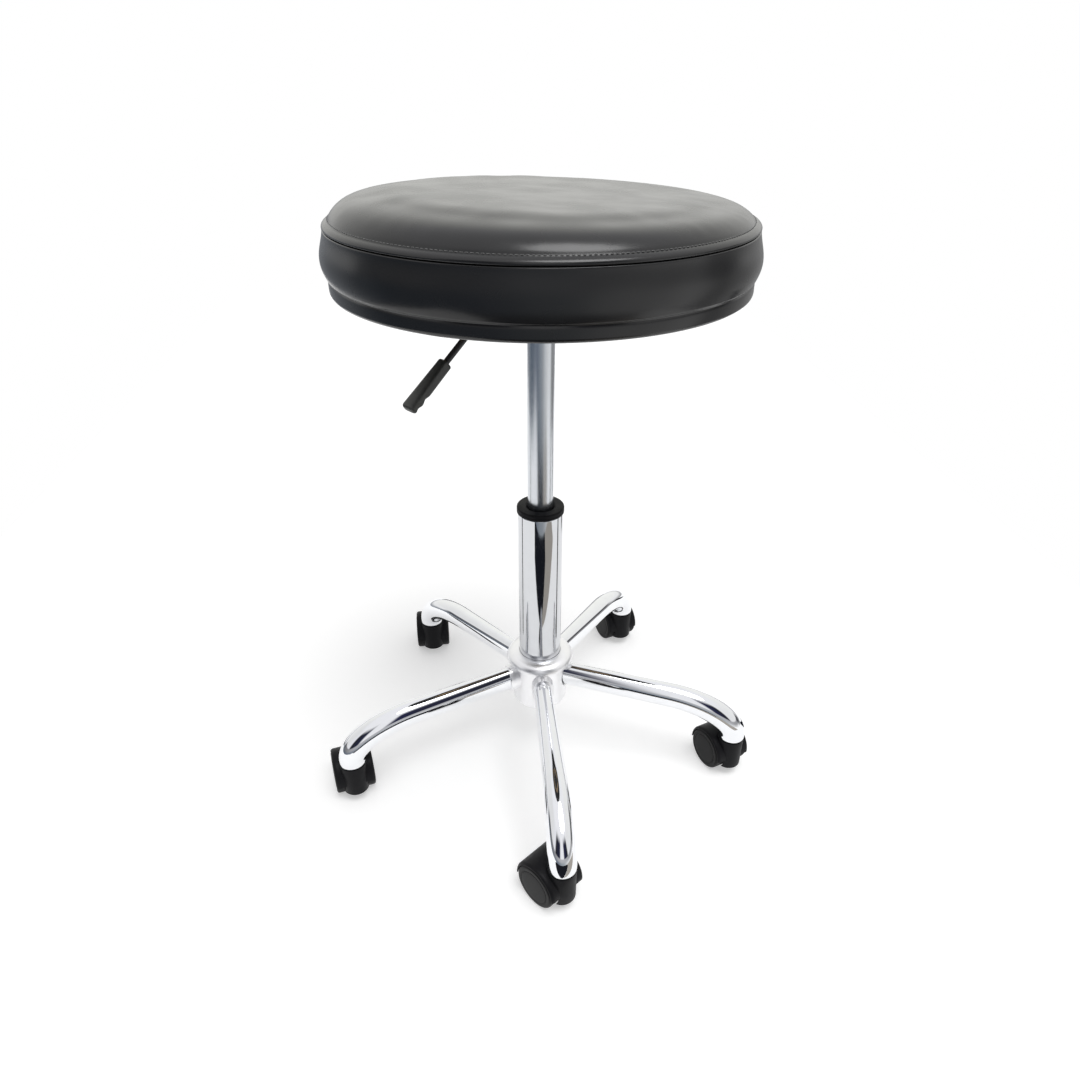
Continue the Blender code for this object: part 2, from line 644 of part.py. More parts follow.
def lever_housing_mesh():
    """Make the channel under the seat plate, with the tapered socket for the cylinder."""
    inner = HOUSING_INNER_WIDTH / 2
    outer = inner + HOUSING_WALL
    bottom = HOUSING_TOP_Z - HOUSING_DEPTH
    channel = [
        (-outer, HOUSING_TOP_Z),
        (-outer, bottom),
        (outer, bottom),
        (outer, HOUSING_TOP_Z),
        (inner, HOUSING_TOP_Z),
        (inner, bottom + HOUSING_WALL),
        (-inner, bottom + HOUSING_WALL),
        (-inner, HOUSING_TOP_Z),
    ]
    housing = extruded_x("lever_housing", channel, -HOUSING_BACK, HOUSING_FRONT)
    bore_foot = CYLINDER_RADIUS + FIT
    slope = CYLINDER_TAPER / (CYLINDER_TOP_Z - SOCKET_BOTTOM_Z)
    bore_head = bore_foot - slope * (SOCKET_TOP_Z - SOCKET_BOTTOM_Z)
    boss = peg("boss", bore_foot + SOCKET_WALL, SOCKET_BOTTOM_Z, SOCKET_TOP_Z, TUBE_SIDES)
    housing = combined(housing, boss, "UNION")
    # The cutter keeps the taper and runs past both ends of the socket.
    overrun = SOCKET_LENGTH
    bore_outline = [
        (0.0, SOCKET_BOTTOM_Z - overrun),
        (bore_foot + slope * overrun, SOCKET_BOTTOM_Z - overrun),
        (bore_head - slope * overrun, SOCKET_TOP_Z + overrun),
        (0.0, SOCKET_TOP_Z + overrun),
    ]
    bore = turned("bore", bore_outline, TUBE_SIDES, closed=False)
    housing = combined(housing, bore, "DIFFERENCE")
    pin_hole = along_y(peg("pin_hole", PIVOT_RADIUS + FIT, -outer * 2, outer * 2, PIN_SIDES))
    pin_hole = moved(pin_hole, Matrix.Translation((LEVER_PIVOT_OFFSET, 0.0, PIVOT_Z)))
    return combined(housing, pin_hole, "DIFFERENCE")


def pivot_pin_mesh():
    """Make the riveted pin that the lever turns on, along Y at the origin."""
    cheek = HOUSING_INNER_WIDTH / 2 + HOUSING_WALL + FIT
    end = cheek + PIVOT_HEAD_HEIGHT
    outline = [
        (0.0, -end),
        (PIVOT_HEAD_RADIUS, -end),
        (PIVOT_HEAD_RADIUS, -cheek),
        (PIVOT_RADIUS, -cheek),
        (PIVOT_RADIUS, cheek),
        (PIVOT_HEAD_RADIUS, cheek),
        (PIVOT_HEAD_RADIUS, end),
        (0.0, end),
    ]
    return along_y(turned("lever_pivot_pin", outline, PIN_SIDES, closed=False))


def screw_places():
    """List the (x, y) places of the four plate screws."""
    half = SCREW_SPACING / 2
    return [(half, half), (-half, half), (-half, -half), (half, -half)]


def drilled(mesh, radius, low, high):
    """Drill the four screw holes into a mesh."""
    for x, y in screw_places():
        drill = moved(peg("drill", radius, low, high, PIN_SIDES), Matrix.Translation((x, y, 0.0)))
        mesh = combined(mesh, drill, "DIFFERENCE")
    return mesh


def mount_plate_mesh():
    """Make the square plate that the seat board is screwed to."""
    half = PLATE_SIDE / 2
    short = half - PLATE_CORNER
    outline = [
        (half, -short), (half, short), (short, half), (-short, half),
        (-half, short), (-half, -short), (-short, -half), (short, -half),
    ]
    top = PLATE_Z + PLATE_THICKNESS
    plate = extruded_z("mount_plate", outline, PLATE_Z, top)
    return drilled(plate, SCREW_RADIUS + FIT, PLATE_Z - PLATE_THICKNESS, top + PLATE_THICKNESS)


def plate_screw_mesh():
    """Make one pan-head screw, up through the plate into the board."""
    seat_z = PLATE_Z - FIT
    outline = [
        (0.0, seat_z - SCREW_HEAD_HEIGHT),
        (SCREW_CROWN_RADIUS, seat_z - SCREW_HEAD_HEIGHT),
        (SCREW_HEAD_RADIUS, seat_z - SCREW_HEAD_HEIGHT / 2),
        (SCREW_HEAD_RADIUS, seat_z),
        (SCREW_RADIUS, seat_z),
        (SCREW_RADIUS, BOARD_Z + SCREW_BITE),
        (0.0, BOARD_Z + SCREW_BITE),
    ]
    return turned("plate_screw", outline, PIN_SIDES, closed=False)


def lever_direction(distance):
    """Give a place (x, z) on the lever's drooping run, at a distance from its bend, pivot at (0, 0)."""
    bend_x = LEVER_BEND_AT - LEVER_PIVOT_OFFSET
    return (bend_x + distance * math.cos(LEVER_DROP), -distance * math.sin(LEVER_DROP))


def round_ring(x, z, pitch, radius, sides):
    """Give a ring of points square to a path in the XZ plane."""
    ring = []
    for side in range(sides):
        angle = math.tau * side / sides
        rise = radius * math.sin(angle)
        ring.append((x - rise * math.sin(pitch), radius * math.cos(angle), z + rise * math.cos(pitch)))
    return ring


def lever_rod_mesh():
    """Make the bent lever rod with its pivot sleeve, with the pivot at the origin."""
    toe_x = -LEVER_PIVOT_OFFSET - LEVER_TOE
    bend_x = LEVER_BEND_AT - LEVER_PIVOT_OFFSET
    set_back = LEVER_BEND_RADIUS * math.tan(LEVER_DROP / 2)
    path = [(toe_x, 0.0, 0.0)]
    for step in range(LEVER_BEND_STEPS + 1):
        angle = LEVER_DROP * step / LEVER_BEND_STEPS
        x = bend_x - set_back + LEVER_BEND_RADIUS * math.sin(angle)
        path.append((x, -LEVER_BEND_RADIUS * (1.0 - math.cos(angle)), -angle))
    end_x, end_z = lever_direction(LEVER_BARE_LENGTH + GRIP_BITE)
    path.append((end_x, end_z, -LEVER_DROP))
    rod = lofted("lever_rod", [round_ring(x, z, pitch, LEVER_ROD_RADIUS, PIN_SIDES) for x, z, pitch in path])
    half = PIVOT_SLEEVE_LENGTH / 2
    bore = PIVOT_RADIUS + FIT
    sleeve = along_y(peg("sleeve", bore + PIVOT_SLEEVE_WALL, -half, half, PIN_SIDES))
    rod = combined(rod, sleeve, "UNION")
    return combined(rod, along_y(peg("bore", bore, -2 * half, 2 * half, PIN_SIDES)), "DIFFERENCE")


def grip_ring(distance):
    """Give one section of the grip, at a distance from its root along the lever's drooping run."""
    share = distance / GRIP_LENGTH
    half_width = (GRIP_ROOT_WIDTH + (GRIP_TIP_WIDTH - GRIP_ROOT_WIDTH) * share) / 2
    half_height = (GRIP_THICKNESS + (GRIP_TIP_THICKNESS - GRIP_THICKNESS) * share) / 2
    from_tip = GRIP_LENGTH - distance
    scallop = 0.0
    if from_tip < GRIP_SCALLOP_LENGTH:
        wave = math.sin(math.pi * GRIP_SCALLOPS * from_tip / GRIP_SCALLOP_LENGTH)
        scallop = GRIP_SCALLOP_DEPTH * wave * wave
    x, z = lever_direction(LEVER_BARE_LENGTH + distance)
    ring = []
    for side in range(PIN_SIDES):
        angle = math.pi * (2 * side + 1) / PIN_SIDES
        across = half_width * squared(math.cos(angle))
        rise = half_height * squared(math.sin(angle))
        if rise < 0.0:
            rise += scallop
        ring.append((x + rise * math.sin(LEVER_DROP), across, z + rise * math.cos(LEVER_DROP)))
    return ring


def squared(value):
    """Push a sine or cosine outwards, so that an oval becomes a rounded oblong."""
    return math.copysign(math.sqrt(abs(value)), value)


def lever_grip_mesh():
    """Make the plastic grip on the end of the lever rod, with two finger scallops under its tip."""
    grip = lofted("lever_grip", [grip_ring(GRIP_LENGTH * step / GRIP_STEPS) for step in range(GRIP_STEPS + 1)])
    places = [lever_direction(LEVER_BARE_LENGTH + at) for at in (-GRIP_BITE, GRIP_BITE + FIT)]
    rings = [round_ring(x, z, -LEVER_DROP, LEVER_ROD_RADIUS + FIT, PIN_SIDES) for x, z in places]
    return combined(grip, lofted("grip_bore", rings), "DIFFERENCE")


def band_point(share, inset):
    """Give a point of the boxing band between the seam lip (0) and the board's top edge (1)."""
    top = SEAM_Z - SEAM_LIP
    height = top + (BOARD_TOP_Z - top) * share
    bulge = BAND_BULGE * math.sin(math.pi * share ** BAND_BULGE_BIAS)
    return (SEAT_RADIUS + bulge - inset, height)


def band_run(inset):
    """List the band's points from under the seam down to the board's top edge."""
    return [band_point(step / BAND_STEPS, inset) for step in range(BAND_STEPS + 1)]


def foot_run(inset):
    """List the points of the band's lower end, round the board's edge and under it."""
    return [
        (SEAT_RADIUS - inset, SEAT_BOTTOM_Z + SEAT_FOOT_ROUND),
        (SEAT_FOOT_RADIUS - inset, SEAT_BOTTOM_Z + inset),
    ]


def crown_run(inset):
    """List the crown's points from the apex out to the stitched hem, closer where it falls away."""
    points = []
    for step in range(CROWN_STEPS + 1):
        share = math.sin(math.pi / 2 * step / CROWN_STEPS)
        radius = (HEM_RADIUS - STITCH_WIDTH) * share
        points.append((radius, HEM_Z - inset + CROWN_RISE * (1.0 - share ** CROWN_POWER)))
    return points


def top_panel_mesh():
    """Make the crowned top panel of the cover, with the stitched hem that meets the band in the seam."""
    hem_middle_radius = (HEM_RADIUS + SEAT_RADIUS) / 2 + HEM_PUFF
    hem_middle_z = (HEM_Z + SEAM_Z + SEAM_LIP) / 2 + HEM_PUFF
    outer = crown_run(0.0) + [
        (HEM_RADIUS - STITCH_WIDTH / 2, HEM_Z - STITCH_DIP),
        (HEM_RADIUS, HEM_Z),
        (hem_middle_radius, hem_middle_z),
        (SEAT_RADIUS, SEAM_Z + SEAM_LIP),
        (SEAM_RADIUS, SEAM_Z + FIT / 2),
    ]
    inner = [(SEAM_RADIUS - SKIN, SEAM_Z + FIT / 2)] + list(reversed(crown_run(SKIN)))
    return turned("seat_top_panel", outer + inner, SEAT_SIDES, closed=False)


def side_band_mesh():
    """Make the boxing band: it bulges under the seam, draws in at the board and turns under it."""
    flange = SEAT_FOOT_RADIUS - SKIN_RETURN
    outer = [(SEAM_RADIUS, SEAM_Z - FIT / 2)] + band_run(0.0) + foot_run(0.0) + [(flange, SEAT_BOTTOM_Z)]
    inner = [(flange, SEAT_BOTTOM_Z + SKIN)] + list(reversed(foot_run(SKIN)))
    inner += list(reversed(band_run(SKIN))) + [(SEAM_RADIUS - SKIN, SEAM_Z - FIT / 2)]
    return turned("seat_side_band", outer + inner, SEAT_SIDES)


def seat_foam_mesh():
    """Make the foam that fills the cover above the board."""
    inset = SKIN + FIT
    low = BOARD_TOP_Z + FIT
    side = band_run(inset)
    above, edge = side[-2:]
    share = (above[1] - low) / (above[1] - edge[1])
    foot = [(above[0] + (edge[0] - above[0]) * share, low), (0.0, low)]
    shoulder = [(SEAM_RADIUS - inset, SEAM_Z - FIT / 2 - FIT)]
    return turned("seat_foam", crown_run(inset) + shoulder + side[:-1] + foot, SEAT_SIDES, closed=False)


def seat_board_mesh():
    """Make the plywood board, rounded under its edge, with a blind hole for each screw."""
    outline = [
        (0.0, BOARD_TOP_Z),
        (BOARD_RADIUS, BOARD_TOP_Z),
        (BOARD_RADIUS, SEAT_BOTTOM_Z + SEAT_FOOT_ROUND + SKIN),
        (BOARD_RADIUS - SEAT_FOOT_INSET, BOARD_Z),
        (0.0, BOARD_Z),
    ]
    board = turned("seat_board", outline, SEAT_SIDES, closed=False)
    board = moved(board, Matrix.Rotation(-LEVER_HEADING, 4, "Z"))
    board = drilled(board, SCREW_RADIUS + FIT, BOARD_Z - SCREW_BITE, BOARD_Z + SCREW_BITE + FIT)
    return moved(board, Matrix.Rotation(LEVER_HEADING, 4, "Z"))


def dust_cover_mesh():
    """Make the ring of cloth under the board, between the plate and the turned-under band."""
    inner = PLATE_SIDE / math.sqrt(2.0) + DUST_COVER_MARGIN
    outer = SEAT_FOOT_RADIUS - SKIN_RETURN - FIT
    top = BOARD_Z - FIT
    return ring_mesh("dust_cover", inner, outer, top - DUST_COVER_THICKNESS, top, SEAT_SIDES)


def caster_stem_mesh():
    """Make a caster stem: a neck for the hood, a collar, and a shank for the leg's socket."""
    collar_z = HOOD_TOP_Z + FIT
    shank_z = collar_z + STEM_COLLAR_HEIGHT
    top = RIM_Z + STEM_LENGTH
    outline = [
        (0.0, HOOD_TOP_Z - STEM_NECK_LENGTH),
        (STEM_NECK_RADIUS, HOOD_TOP_Z - STEM_NECK_LENGTH),
        (STEM_NECK_RADIUS, collar_z),
        (STEM_COLLAR_RADIUS, collar_z),
        (STEM_COLLAR_RADIUS, shank_z),
        (STEM_RADIUS, shank_z),
        (STEM_RADIUS, top - STEM_TIP_CHAMFER),
        (STEM_RADIUS - STEM_TIP_CHAMFER, top),
        (0.0, top),
    ]
    return turned("caster_stem", outline, PIN_SIDES, closed=False)


def caster_hood_mesh():
    """Make a caster hood, swivel axis at the origin: a round nose, a web and a roof over the wheels."""
    axle = (TRAIL, WHEEL_RADIUS)
    lobe = AXLE_RADIUS + FIT + HOOD_LOBE_WALL
    outline = arc_points(axle, HOOD_OUTER_RADIUS, 0.0, math.pi, WHEEL_SIDES // 2)
    outline += arc_points(axle, lobe, math.pi, math.tau, WHEEL_SIDES // 4)
    hood = extruded_y("caster_hood", outline, HOOD_HALF_WIDTH)
    nose = peg("nose", HOOD_NOSE_RADIUS, HOOD_NOSE_FLOOR_Z, HOOD_TOP_Z, TUBE_SIDES)
    hood = combined(hood, nose, "UNION")
    to_axle = Matrix.Translation((TRAIL, 0.0, WHEEL_RADIUS))
    for side in (1.0, -1.0):
        well = peg("well", HOOD_INNER_RADIUS, HOOD_WEB / 2, 2 * HOOD_HALF_WIDTH, WHEEL_SIDES)
        facing = Matrix.Rotation(-side * math.pi / 2, 4, "X")
        half_side = Matrix.Rotation(math.pi / WHEEL_SIDES, 4, "Z")
        hood = combined(hood, moved(well, to_axle @ facing @ half_side), "DIFFERENCE")
    bore = along_y(peg("bore", AXLE_RADIUS + FIT, -HOOD_HALF_WIDTH, HOOD_HALF_WIDTH, PIN_SIDES))
    hood = combined(hood, moved(bore, to_axle), "DIFFERENCE")
    neck_floor = HOOD_TOP_Z - STEM_NECK_LENGTH - FIT
    neck = peg("neck", STEM_NECK_RADIUS + FIT, neck_floor, HOOD_TOP_Z + STEM_NECK_LENGTH, PIN_SIDES)
    return combined(hood, neck, "DIFFERENCE")


def wheel_mesh():
    """Make one wheel on the Y axis, with its inner face at y = 0 and a flat side down."""
    bore = AXLE_RADIUS + FIT
    outline = [
        (bore, 0.0),
        (WHEEL_TIP_RADIUS - WHEEL_CHAMFER, 0.0),
        (WHEEL_TIP_RADIUS, WHEEL_CHAMFER),
    ]
    round_middle = (WHEEL_TIP_RADIUS - WHEEL_ROUND, WHEEL_WIDTH - WHEEL_ROUND)
    outline += arc_points(round_middle, WHEEL_ROUND, 0.0, math.pi / 2, WHEEL_ROUND_STEPS)
    outline += [
        (WHEEL_DISH_RADIUS, WHEEL_WIDTH),
        (WHEEL_BOSS_RADIUS, WHEEL_WIDTH - WHEEL_DISH_DEPTH),
        (bore, WHEEL_WIDTH - WHEEL_DISH_DEPTH),
    ]
    quarter = math.pi / 2
    side_angle = math.tau / WHEEL_SIDES
    return along_y(turned("wheel", outline, WHEEL_SIDES, start=quarter + side_angle / 2))


def axle_mesh():
    """Make a caster axle along Y, centred on the hood's web."""
    half = HOOD_WEB / 2 + WHEEL_SIDE_GAP + WHEEL_WIDTH - WHEEL_DISH_DEPTH
    return along_y(peg("caster_axle", AXLE_RADIUS, -half, half, PIN_SIDES))


def build_base(finishes, stool):
    """Place the pieces that stay still: hub, legs, sockets, column, bush and lower washer."""
    base = joint_frame("base_frame", stool)
    place("hub", hub_mesh(), finishes["chrome"], base)
    leg = leg_mesh()
    socket = stem_socket_mesh()
    for index in range(LEG_COUNT):
        angle = leg_angle(index)
        tip = (LEG_REACH * math.cos(angle), LEG_REACH * math.sin(angle), 0.0)
        place(f"leg_{index + 1}", leg, finishes["chrome"], base, turn=angle)
        # The leg's section starts across its length, so the socket's sides are turned to match it.
        place(f"stem_socket_{index + 1}", socket, finishes["black_plastic"], base, tip, angle + math.pi / 2)
    place("column", column_mesh(), finishes["chrome"], base)
    place("guide_bush", guide_bush_mesh(), finishes["black_plastic"], base)
    washer = ring_mesh(
        "thrust_washer_lower", ROD_RADIUS + FIT, WASHER_RADIUS, WASHER_Z, WASHER_Z + WASHER_HEIGHT, TUBE_SIDES
    )
    place("thrust_washer_lower", washer, finishes["steel"], base)


def build_lift_rod(finishes, stool):
    """Place the pieces that turn with the seat and stay at their height."""
    rod = joint_frame("lift_rod_frame", stool)
    place("piston_rod", piston_rod_mesh(), finishes["steel"], rod)
    piston = ring_mesh(
        "piston",
        ROD_END_RADIUS + FIT,
        CYLINDER_RADIUS - CYLINDER_WALL - FIT,
        PISTON_Z,
        PISTON_Z + PISTON_HEIGHT,
        TUBE_SIDES,
    )
    place("piston", piston, finishes["steel"], rod)
    bearing = ring_mesh(
        "thrust_bearing", ROD_RADIUS + FIT, BEARING_RADIUS, BEARING_Z, BEARING_Z + BEARING_HEIGHT, TUBE_SIDES
    )
    place("thrust_bearing", bearing, finishes["steel"], rod)
    place("buffer", buffer_mesh(), finishes["rubber"], rod)
    place("rod_clip", rod_clip_mesh(), finishes["steel"], rod)


def build_mechanism(finishes, seat):
    """Place the plate, its screws, the housing, the lever and the valve pin, along the lever's heading."""
    mechanism = joint_frame("mechanism_frame", seat, turn=LEVER_HEADING)
    place("lever_housing", lever_housing_mesh(), finishes["black_steel"], mechanism)
    place("mount_plate", mount_plate_mesh(), finishes["black_steel"], mechanism)
    screw = plate_screw_mesh()
    for index, (x, y) in enumerate(screw_places()):
        place(f"plate_screw_{index + 1}", screw, finishes["steel"], mechanism, (x, y, 0.0))
    pivot = (LEVER_PIVOT_OFFSET, 0.0, PIVOT_Z)
    place("lever_pivot_pin", pivot_pin_mesh(), finishes["steel"], mechanism, pivot)
    lever = joint_frame("lever_frame", mechanism, pivot)
    place("lever_rod", lever_rod_mesh(), finishes["black_steel"], lever)
    place("lever_grip", lever_grip_mesh(), finishes["black_plastic"], lever)
    place("release_pin", release_pin_mesh(), finishes["steel"], mechanism)


def build_seat(finishes, stool):
    """Place the pieces that turn and rise: cylinder, mechanism and the padded seat."""
    seat = joint_frame("seat_frame", stool)
    place("gas_cylinder", gas_cylinder_mesh(), finishes["satin_chrome"], seat)
    build_mechanism(finishes, seat)
    place("seat_board", seat_board_mesh(), finishes["plywood"], seat)
    place("seat_foam", seat_foam_mesh(), finishes["foam"], seat)
    place("seat_top_panel", top_panel_mesh(), finishes["vinyl"], seat)
    place("seat_side_band", side_band_mesh(), finishes["vinyl"], seat)
    place("dust_cover", dust_cover_mesh(), finishes["dust_cloth"], seat)


def build_casters(finishes, stool):
    """Place the five casters, each trailing its own way."""
    stem = caster_stem_mesh()
    hood = caster_hood_mesh()
    axle = axle_mesh()
    wheel = wheel_mesh()
    side = HOOD_WEB / 2 + WHEEL_SIDE_GAP
    for index, heading in enumerate(CASTER_HEADINGS):
        angle = leg_angle(index)
        tip = (LEG_REACH * math.cos(angle), LEG_REACH * math.sin(angle), 0.0)
        swivel = joint_frame(f"caster_frame_{index + 1}", stool, tip, math.radians(heading))
        number = index + 1
        place(f"caster_stem_{number}", stem, finishes["steel"], swivel)
        place(f"caster_hood_{number}", hood, finishes["black_plastic"], swivel)
        place(f"caster_axle_{number}", axle, finishes["steel"], swivel, (TRAIL, 0.0, WHEEL_RADIUS))
        left = (TRAIL, side, WHEEL_RADIUS)
        right = (TRAIL, -side, WHEEL_RADIUS)
        place(f"wheel_left_{number}", wheel, finishes["wheel_plastic"], swivel, left)
        place(f"wheel_right_{number}", wheel, finishes["wheel_plastic"], swivel, right, math.pi)


def centre_footprint(stool):
    """Shift the whole stool so that the middle of its box is over the origin."""
    bpy.context.view_layer.update()
    corners = [
        piece.matrix_world @ vertex.co
        for piece in bpy.data.objects
        if piece.type == "MESH"
        for vertex in piece.data.vertices
    ]
    for axis in (0, 1):
        values = [corner[axis] for corner in corners]
        stool.location[axis] -= (min(values) + max(values)) / 2
    bpy.context.view_layer.update()


def main():
    """Build the stool."""
    clear_scene()
    finishes = make_finishes()
    stool = joint_frame("stool_frame")
    build_base(finishes, stool)
    build_lift_rod(finishes, stool)
    build_seat(finishes, stool)
    build_casters(finishes, stool)
    centre_footprint(stool)


main()
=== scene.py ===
"""Rolling stool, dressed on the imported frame: a padded seat on a gas lift over five chromed legs.

Everything is in metres, in the frame's own axes: +Z is up and the first leg points along -Y.
"""

import functools
import json
import logging
import math
from collections.abc import Callable, Sequence
from dataclasses import dataclass
from enum import Enum

import bmesh
import bpy
from mathutils import Matrix, Vector, noise
from mathutils.bvhtree import BVHTree
from mathutils.kdtree import KDTree


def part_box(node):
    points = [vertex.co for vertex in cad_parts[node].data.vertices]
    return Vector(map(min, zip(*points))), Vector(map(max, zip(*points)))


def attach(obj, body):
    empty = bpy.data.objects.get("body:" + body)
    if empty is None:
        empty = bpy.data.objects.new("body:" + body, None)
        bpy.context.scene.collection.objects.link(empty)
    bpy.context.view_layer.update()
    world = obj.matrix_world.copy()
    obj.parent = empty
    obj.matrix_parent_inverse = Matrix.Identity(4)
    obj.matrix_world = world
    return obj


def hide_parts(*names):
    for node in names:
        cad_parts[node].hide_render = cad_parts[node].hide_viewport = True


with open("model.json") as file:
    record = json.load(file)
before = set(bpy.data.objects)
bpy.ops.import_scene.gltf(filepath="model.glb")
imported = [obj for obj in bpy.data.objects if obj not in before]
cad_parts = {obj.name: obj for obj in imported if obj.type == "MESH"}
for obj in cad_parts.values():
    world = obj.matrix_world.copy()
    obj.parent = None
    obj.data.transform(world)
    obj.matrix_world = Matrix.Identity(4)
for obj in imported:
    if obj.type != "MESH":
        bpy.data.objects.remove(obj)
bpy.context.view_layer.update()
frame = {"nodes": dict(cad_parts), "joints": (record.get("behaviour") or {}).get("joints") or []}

MM = 0.001
FIT = 0.3 * MM
ON_AXIS = 0.001 * MM
SAME_PLACE = 0.02 * MM
NEAR = 1.0 * MM
PAST = 10.0 * MM
SHARP_EDGE = math.radians(32.0)
QUARTER = math.pi / 2
UP = Vector((0.0, 0.0, 1.0))
LEGS = range(1, 6)
SMALL_ROUND = 32
MIDDLE_ROUND = 40
LARGE_ROUND = 64
OBLONG = ((-1, -1), (1, -1), (1, 1), (-1, 1))
UNIT = (0.0, 1.0)
NOISE_SPAN = (0.3, 0.7)
LOG = logging.getLogger("rolling_stool")

Triple = tuple[float, float, float]
Span = tuple[float, float]
Colour = Triple
Ring = list[Vector]
Mesh = bpy.types.Mesh
Socket = bpy.types.NodeSocket


class Slot(Enum):
    """The record's material slots."""

    CHROME = "chrome"
    SATIN_CHROME = "satin_chrome"
    STEEL = "steel"
    BLACK_STEEL = "black_steel"
    BLACK_PLASTIC = "black_plastic"
    WHEEL_PLASTIC = "wheel_plastic"
    RUBBER = "rubber"
    VINYL = "vinyl"
    PLYWOOD = "plywood"
    DUST_CLOTH = "dust_cloth"


class Body(Enum):
    """The frame's bodies, apart from those of the casters."""

    BASE = "base"
    SEAT = "seat"
    LEVER = "lever"


class Side(Enum):
    """The two sides of a caster, as the sign of its own Y axis."""

    LEFT = 1
    RIGHT = -1


class Cut(Enum):
    """How one solid is combined with another."""

    ADD = "UNION"
    TAKE = "DIFFERENCE"


@dataclass(frozen=True)
class Corner:
    """A corner of an outline and the radius that it is rounded to."""

    across: float
    up: float
    radius: float = 0.0
    steps: int = 6

    def point(self) -> Vector:
        """Give the corner's own place before rounding."""
        return Vector((self.across, self.up))


def spread(low: float, high: float, steps: int) -> list[float]:
    """Give evenly spaced values from low to high, both included."""
    return [low + (high - low) * step / steps for step in range(steps + 1)]


def turns(sides: int) -> list[float]:
    """Give the headings of a round's sides."""
    return spread(0.0, math.tau, sides)[:-1]


def rounded(corners: Sequence[Corner], closed: bool = True) -> list[Vector]:
    """Round the corners of an outline.

    Args:
        corners: The corners in order.
        closed: Whether the outline runs back to its first corner.

    Returns:
        The points of the rounded outline.
    """
    most = 0.49
    outline: list[Vector] = []
    last = len(corners) - 1
    for place, corner in enumerate(corners):
        here = corner.point()
        if corner.radius <= 0.0 or (not closed and place in (0, last)):
            outline.append(here)
            continue
        back = corners[place - 1].point() - here
        ahead = corners[0 if place == last else place + 1].point() - here
        half = back.angle(ahead) / 2
        reach = min(corner.radius / math.tan(half), most * back.length, most * ahead.length)
        inward = (back.normalized() + ahead.normalized()).normalized()
        middle = here + inward * reach / math.cos(half)
        start = here + back.normalized() * reach - middle
        end = (here + ahead.normalized() * reach - middle).normalized()
        for share in spread(0.0, 1.0, corner.steps):
            outline.append(middle + start.normalized().slerp(end, share) * start.length)
    return outline


def arc(middle: Span, radius: float, start: float, end: float, steps: int) -> list[Vector]:
    """Give the points of an arc in a plane.

    Args:
        middle: The arc's centre.
        radius: The arc's radius.
        start: The first angle.
        end: The last angle.
        steps: How many chords the arc has.

    Returns:
        The points, both ends included.
    """
    x, y = middle
    angles = spread(start, end, steps)
    return [Vector((x + radius * math.cos(a), y + radius * math.sin(a))) for a in angles]


def closed_mesh(shape: bmesh.types.BMesh, name: str) -> Mesh:
    """Turn a finished bmesh into a smooth-shaded mesh and free it.

    Args:
        shape: The bmesh.
        name: The mesh's name.

    Returns:
        The mesh, with its normals outwards and its sharp edges marked.
    """
    bmesh.ops.recalc_face_normals(shape, faces=shape.faces)
    mesh = bpy.data.meshes.new(name)
    shape.to_mesh(mesh)
    shape.free()
    mesh.shade_smooth()
    mesh.set_sharp_from_angle(angle=SHARP_EDGE)
    return mesh


def turned(name: str, outline: Sequence[Vector], sides: int, closed: bool = True) -> Mesh:
    """Turn an outline about the Z axis.

    Args:
        name: The mesh's name.
        outline: Points as (radius, height).
        sides: How many sides the round has.
        closed: Whether the outline runs back to its first point.

    Returns:
        The turned mesh.
    """
    shape = bmesh.new()
    rings = []
    for radius, height in outline:
        if radius < ON_AXIS:
            rings.append([shape.verts.new((0.0, 0.0, height))] * sides)
            continue
        round_points = [(radius * math.cos(t), radius * math.sin(t), height) for t in turns(sides)]
        rings.append([shape.verts.new(point) for point in round_points])
    follows = rings[1:] + (rings[:1] if closed else [])
    for ring, follow in zip(rings, follows):
        for side in range(sides):
            after = (side + 1) % sides
            corners = dict.fromkeys((ring[side], ring[after], follow[after], follow[side]))
            if len(corners) > 2:
                shape.faces.new(list(corners))
    return closed_mesh(shape, name)


def skin(shape: bmesh.types.BMesh, rings: Sequence[Ring], cyclic: bool = False) -> None:
    """Add to a bmesh the skin of a row of rings that have the same number of points.

    Args:
        shape: The bmesh.
        rings: The rings in order.
        cyclic: Whether the last ring runs back to the first; if not, both ends are capped.
    """
    rows = [[shape.verts.new(point) for point in ring] for ring in rings]
    count = len(rows[0])
    follows = rows[1:] + (rows[:1] if cyclic else [])
    for row, follow in zip(rows, follows):
        for place in range(count):
            after = (place + 1) % count
            shape.faces.new((row[place], row[after], follow[after], follow[place]))
    if not cyclic:
        shape.faces.new(rows[0])
        shape.faces.new(rows[-1])


def lofted(name: str, rings: Sequence[Ring], cyclic: bool = False) -> Mesh:
    """Make a closed mesh from a row of rings, capped at both ends or run round."""
    shape = bmesh.new()
    skin(shape, rings, cyclic)
    return closed_mesh(shape, name)


def extruded(name: str, outline: Sequence[Vector], low: float, high: float) -> Mesh:
    """Raise a flat outline into a solid along Z.

    Args:
        name: The mesh's name.
        outline: The outline as (x, y).
        low: The lower height.
        high: The upper height.

    Returns:
        The closed mesh.
    """
    return lofted(name, [[Vector((x, y, height)) for x, y in outline] for height in (low, high)])


def peg(name: str, radius: float, low: float, high: float, sides: int = 48) -> Mesh:
    """Make a plain round cutter along Z, for Boolean work."""
    last = math.tau * (1 - 1 / sides)
    return extruded(name, arc((0.0, 0.0), radius, 0.0, last, sides - 1), low, high)


def along_y(mesh: Mesh) -> Mesh:
    """Lay a mesh that stands along Z down along +Y."""
    mesh.transform(Matrix.Rotation(-QUARTER, 4, "X"))
    return mesh


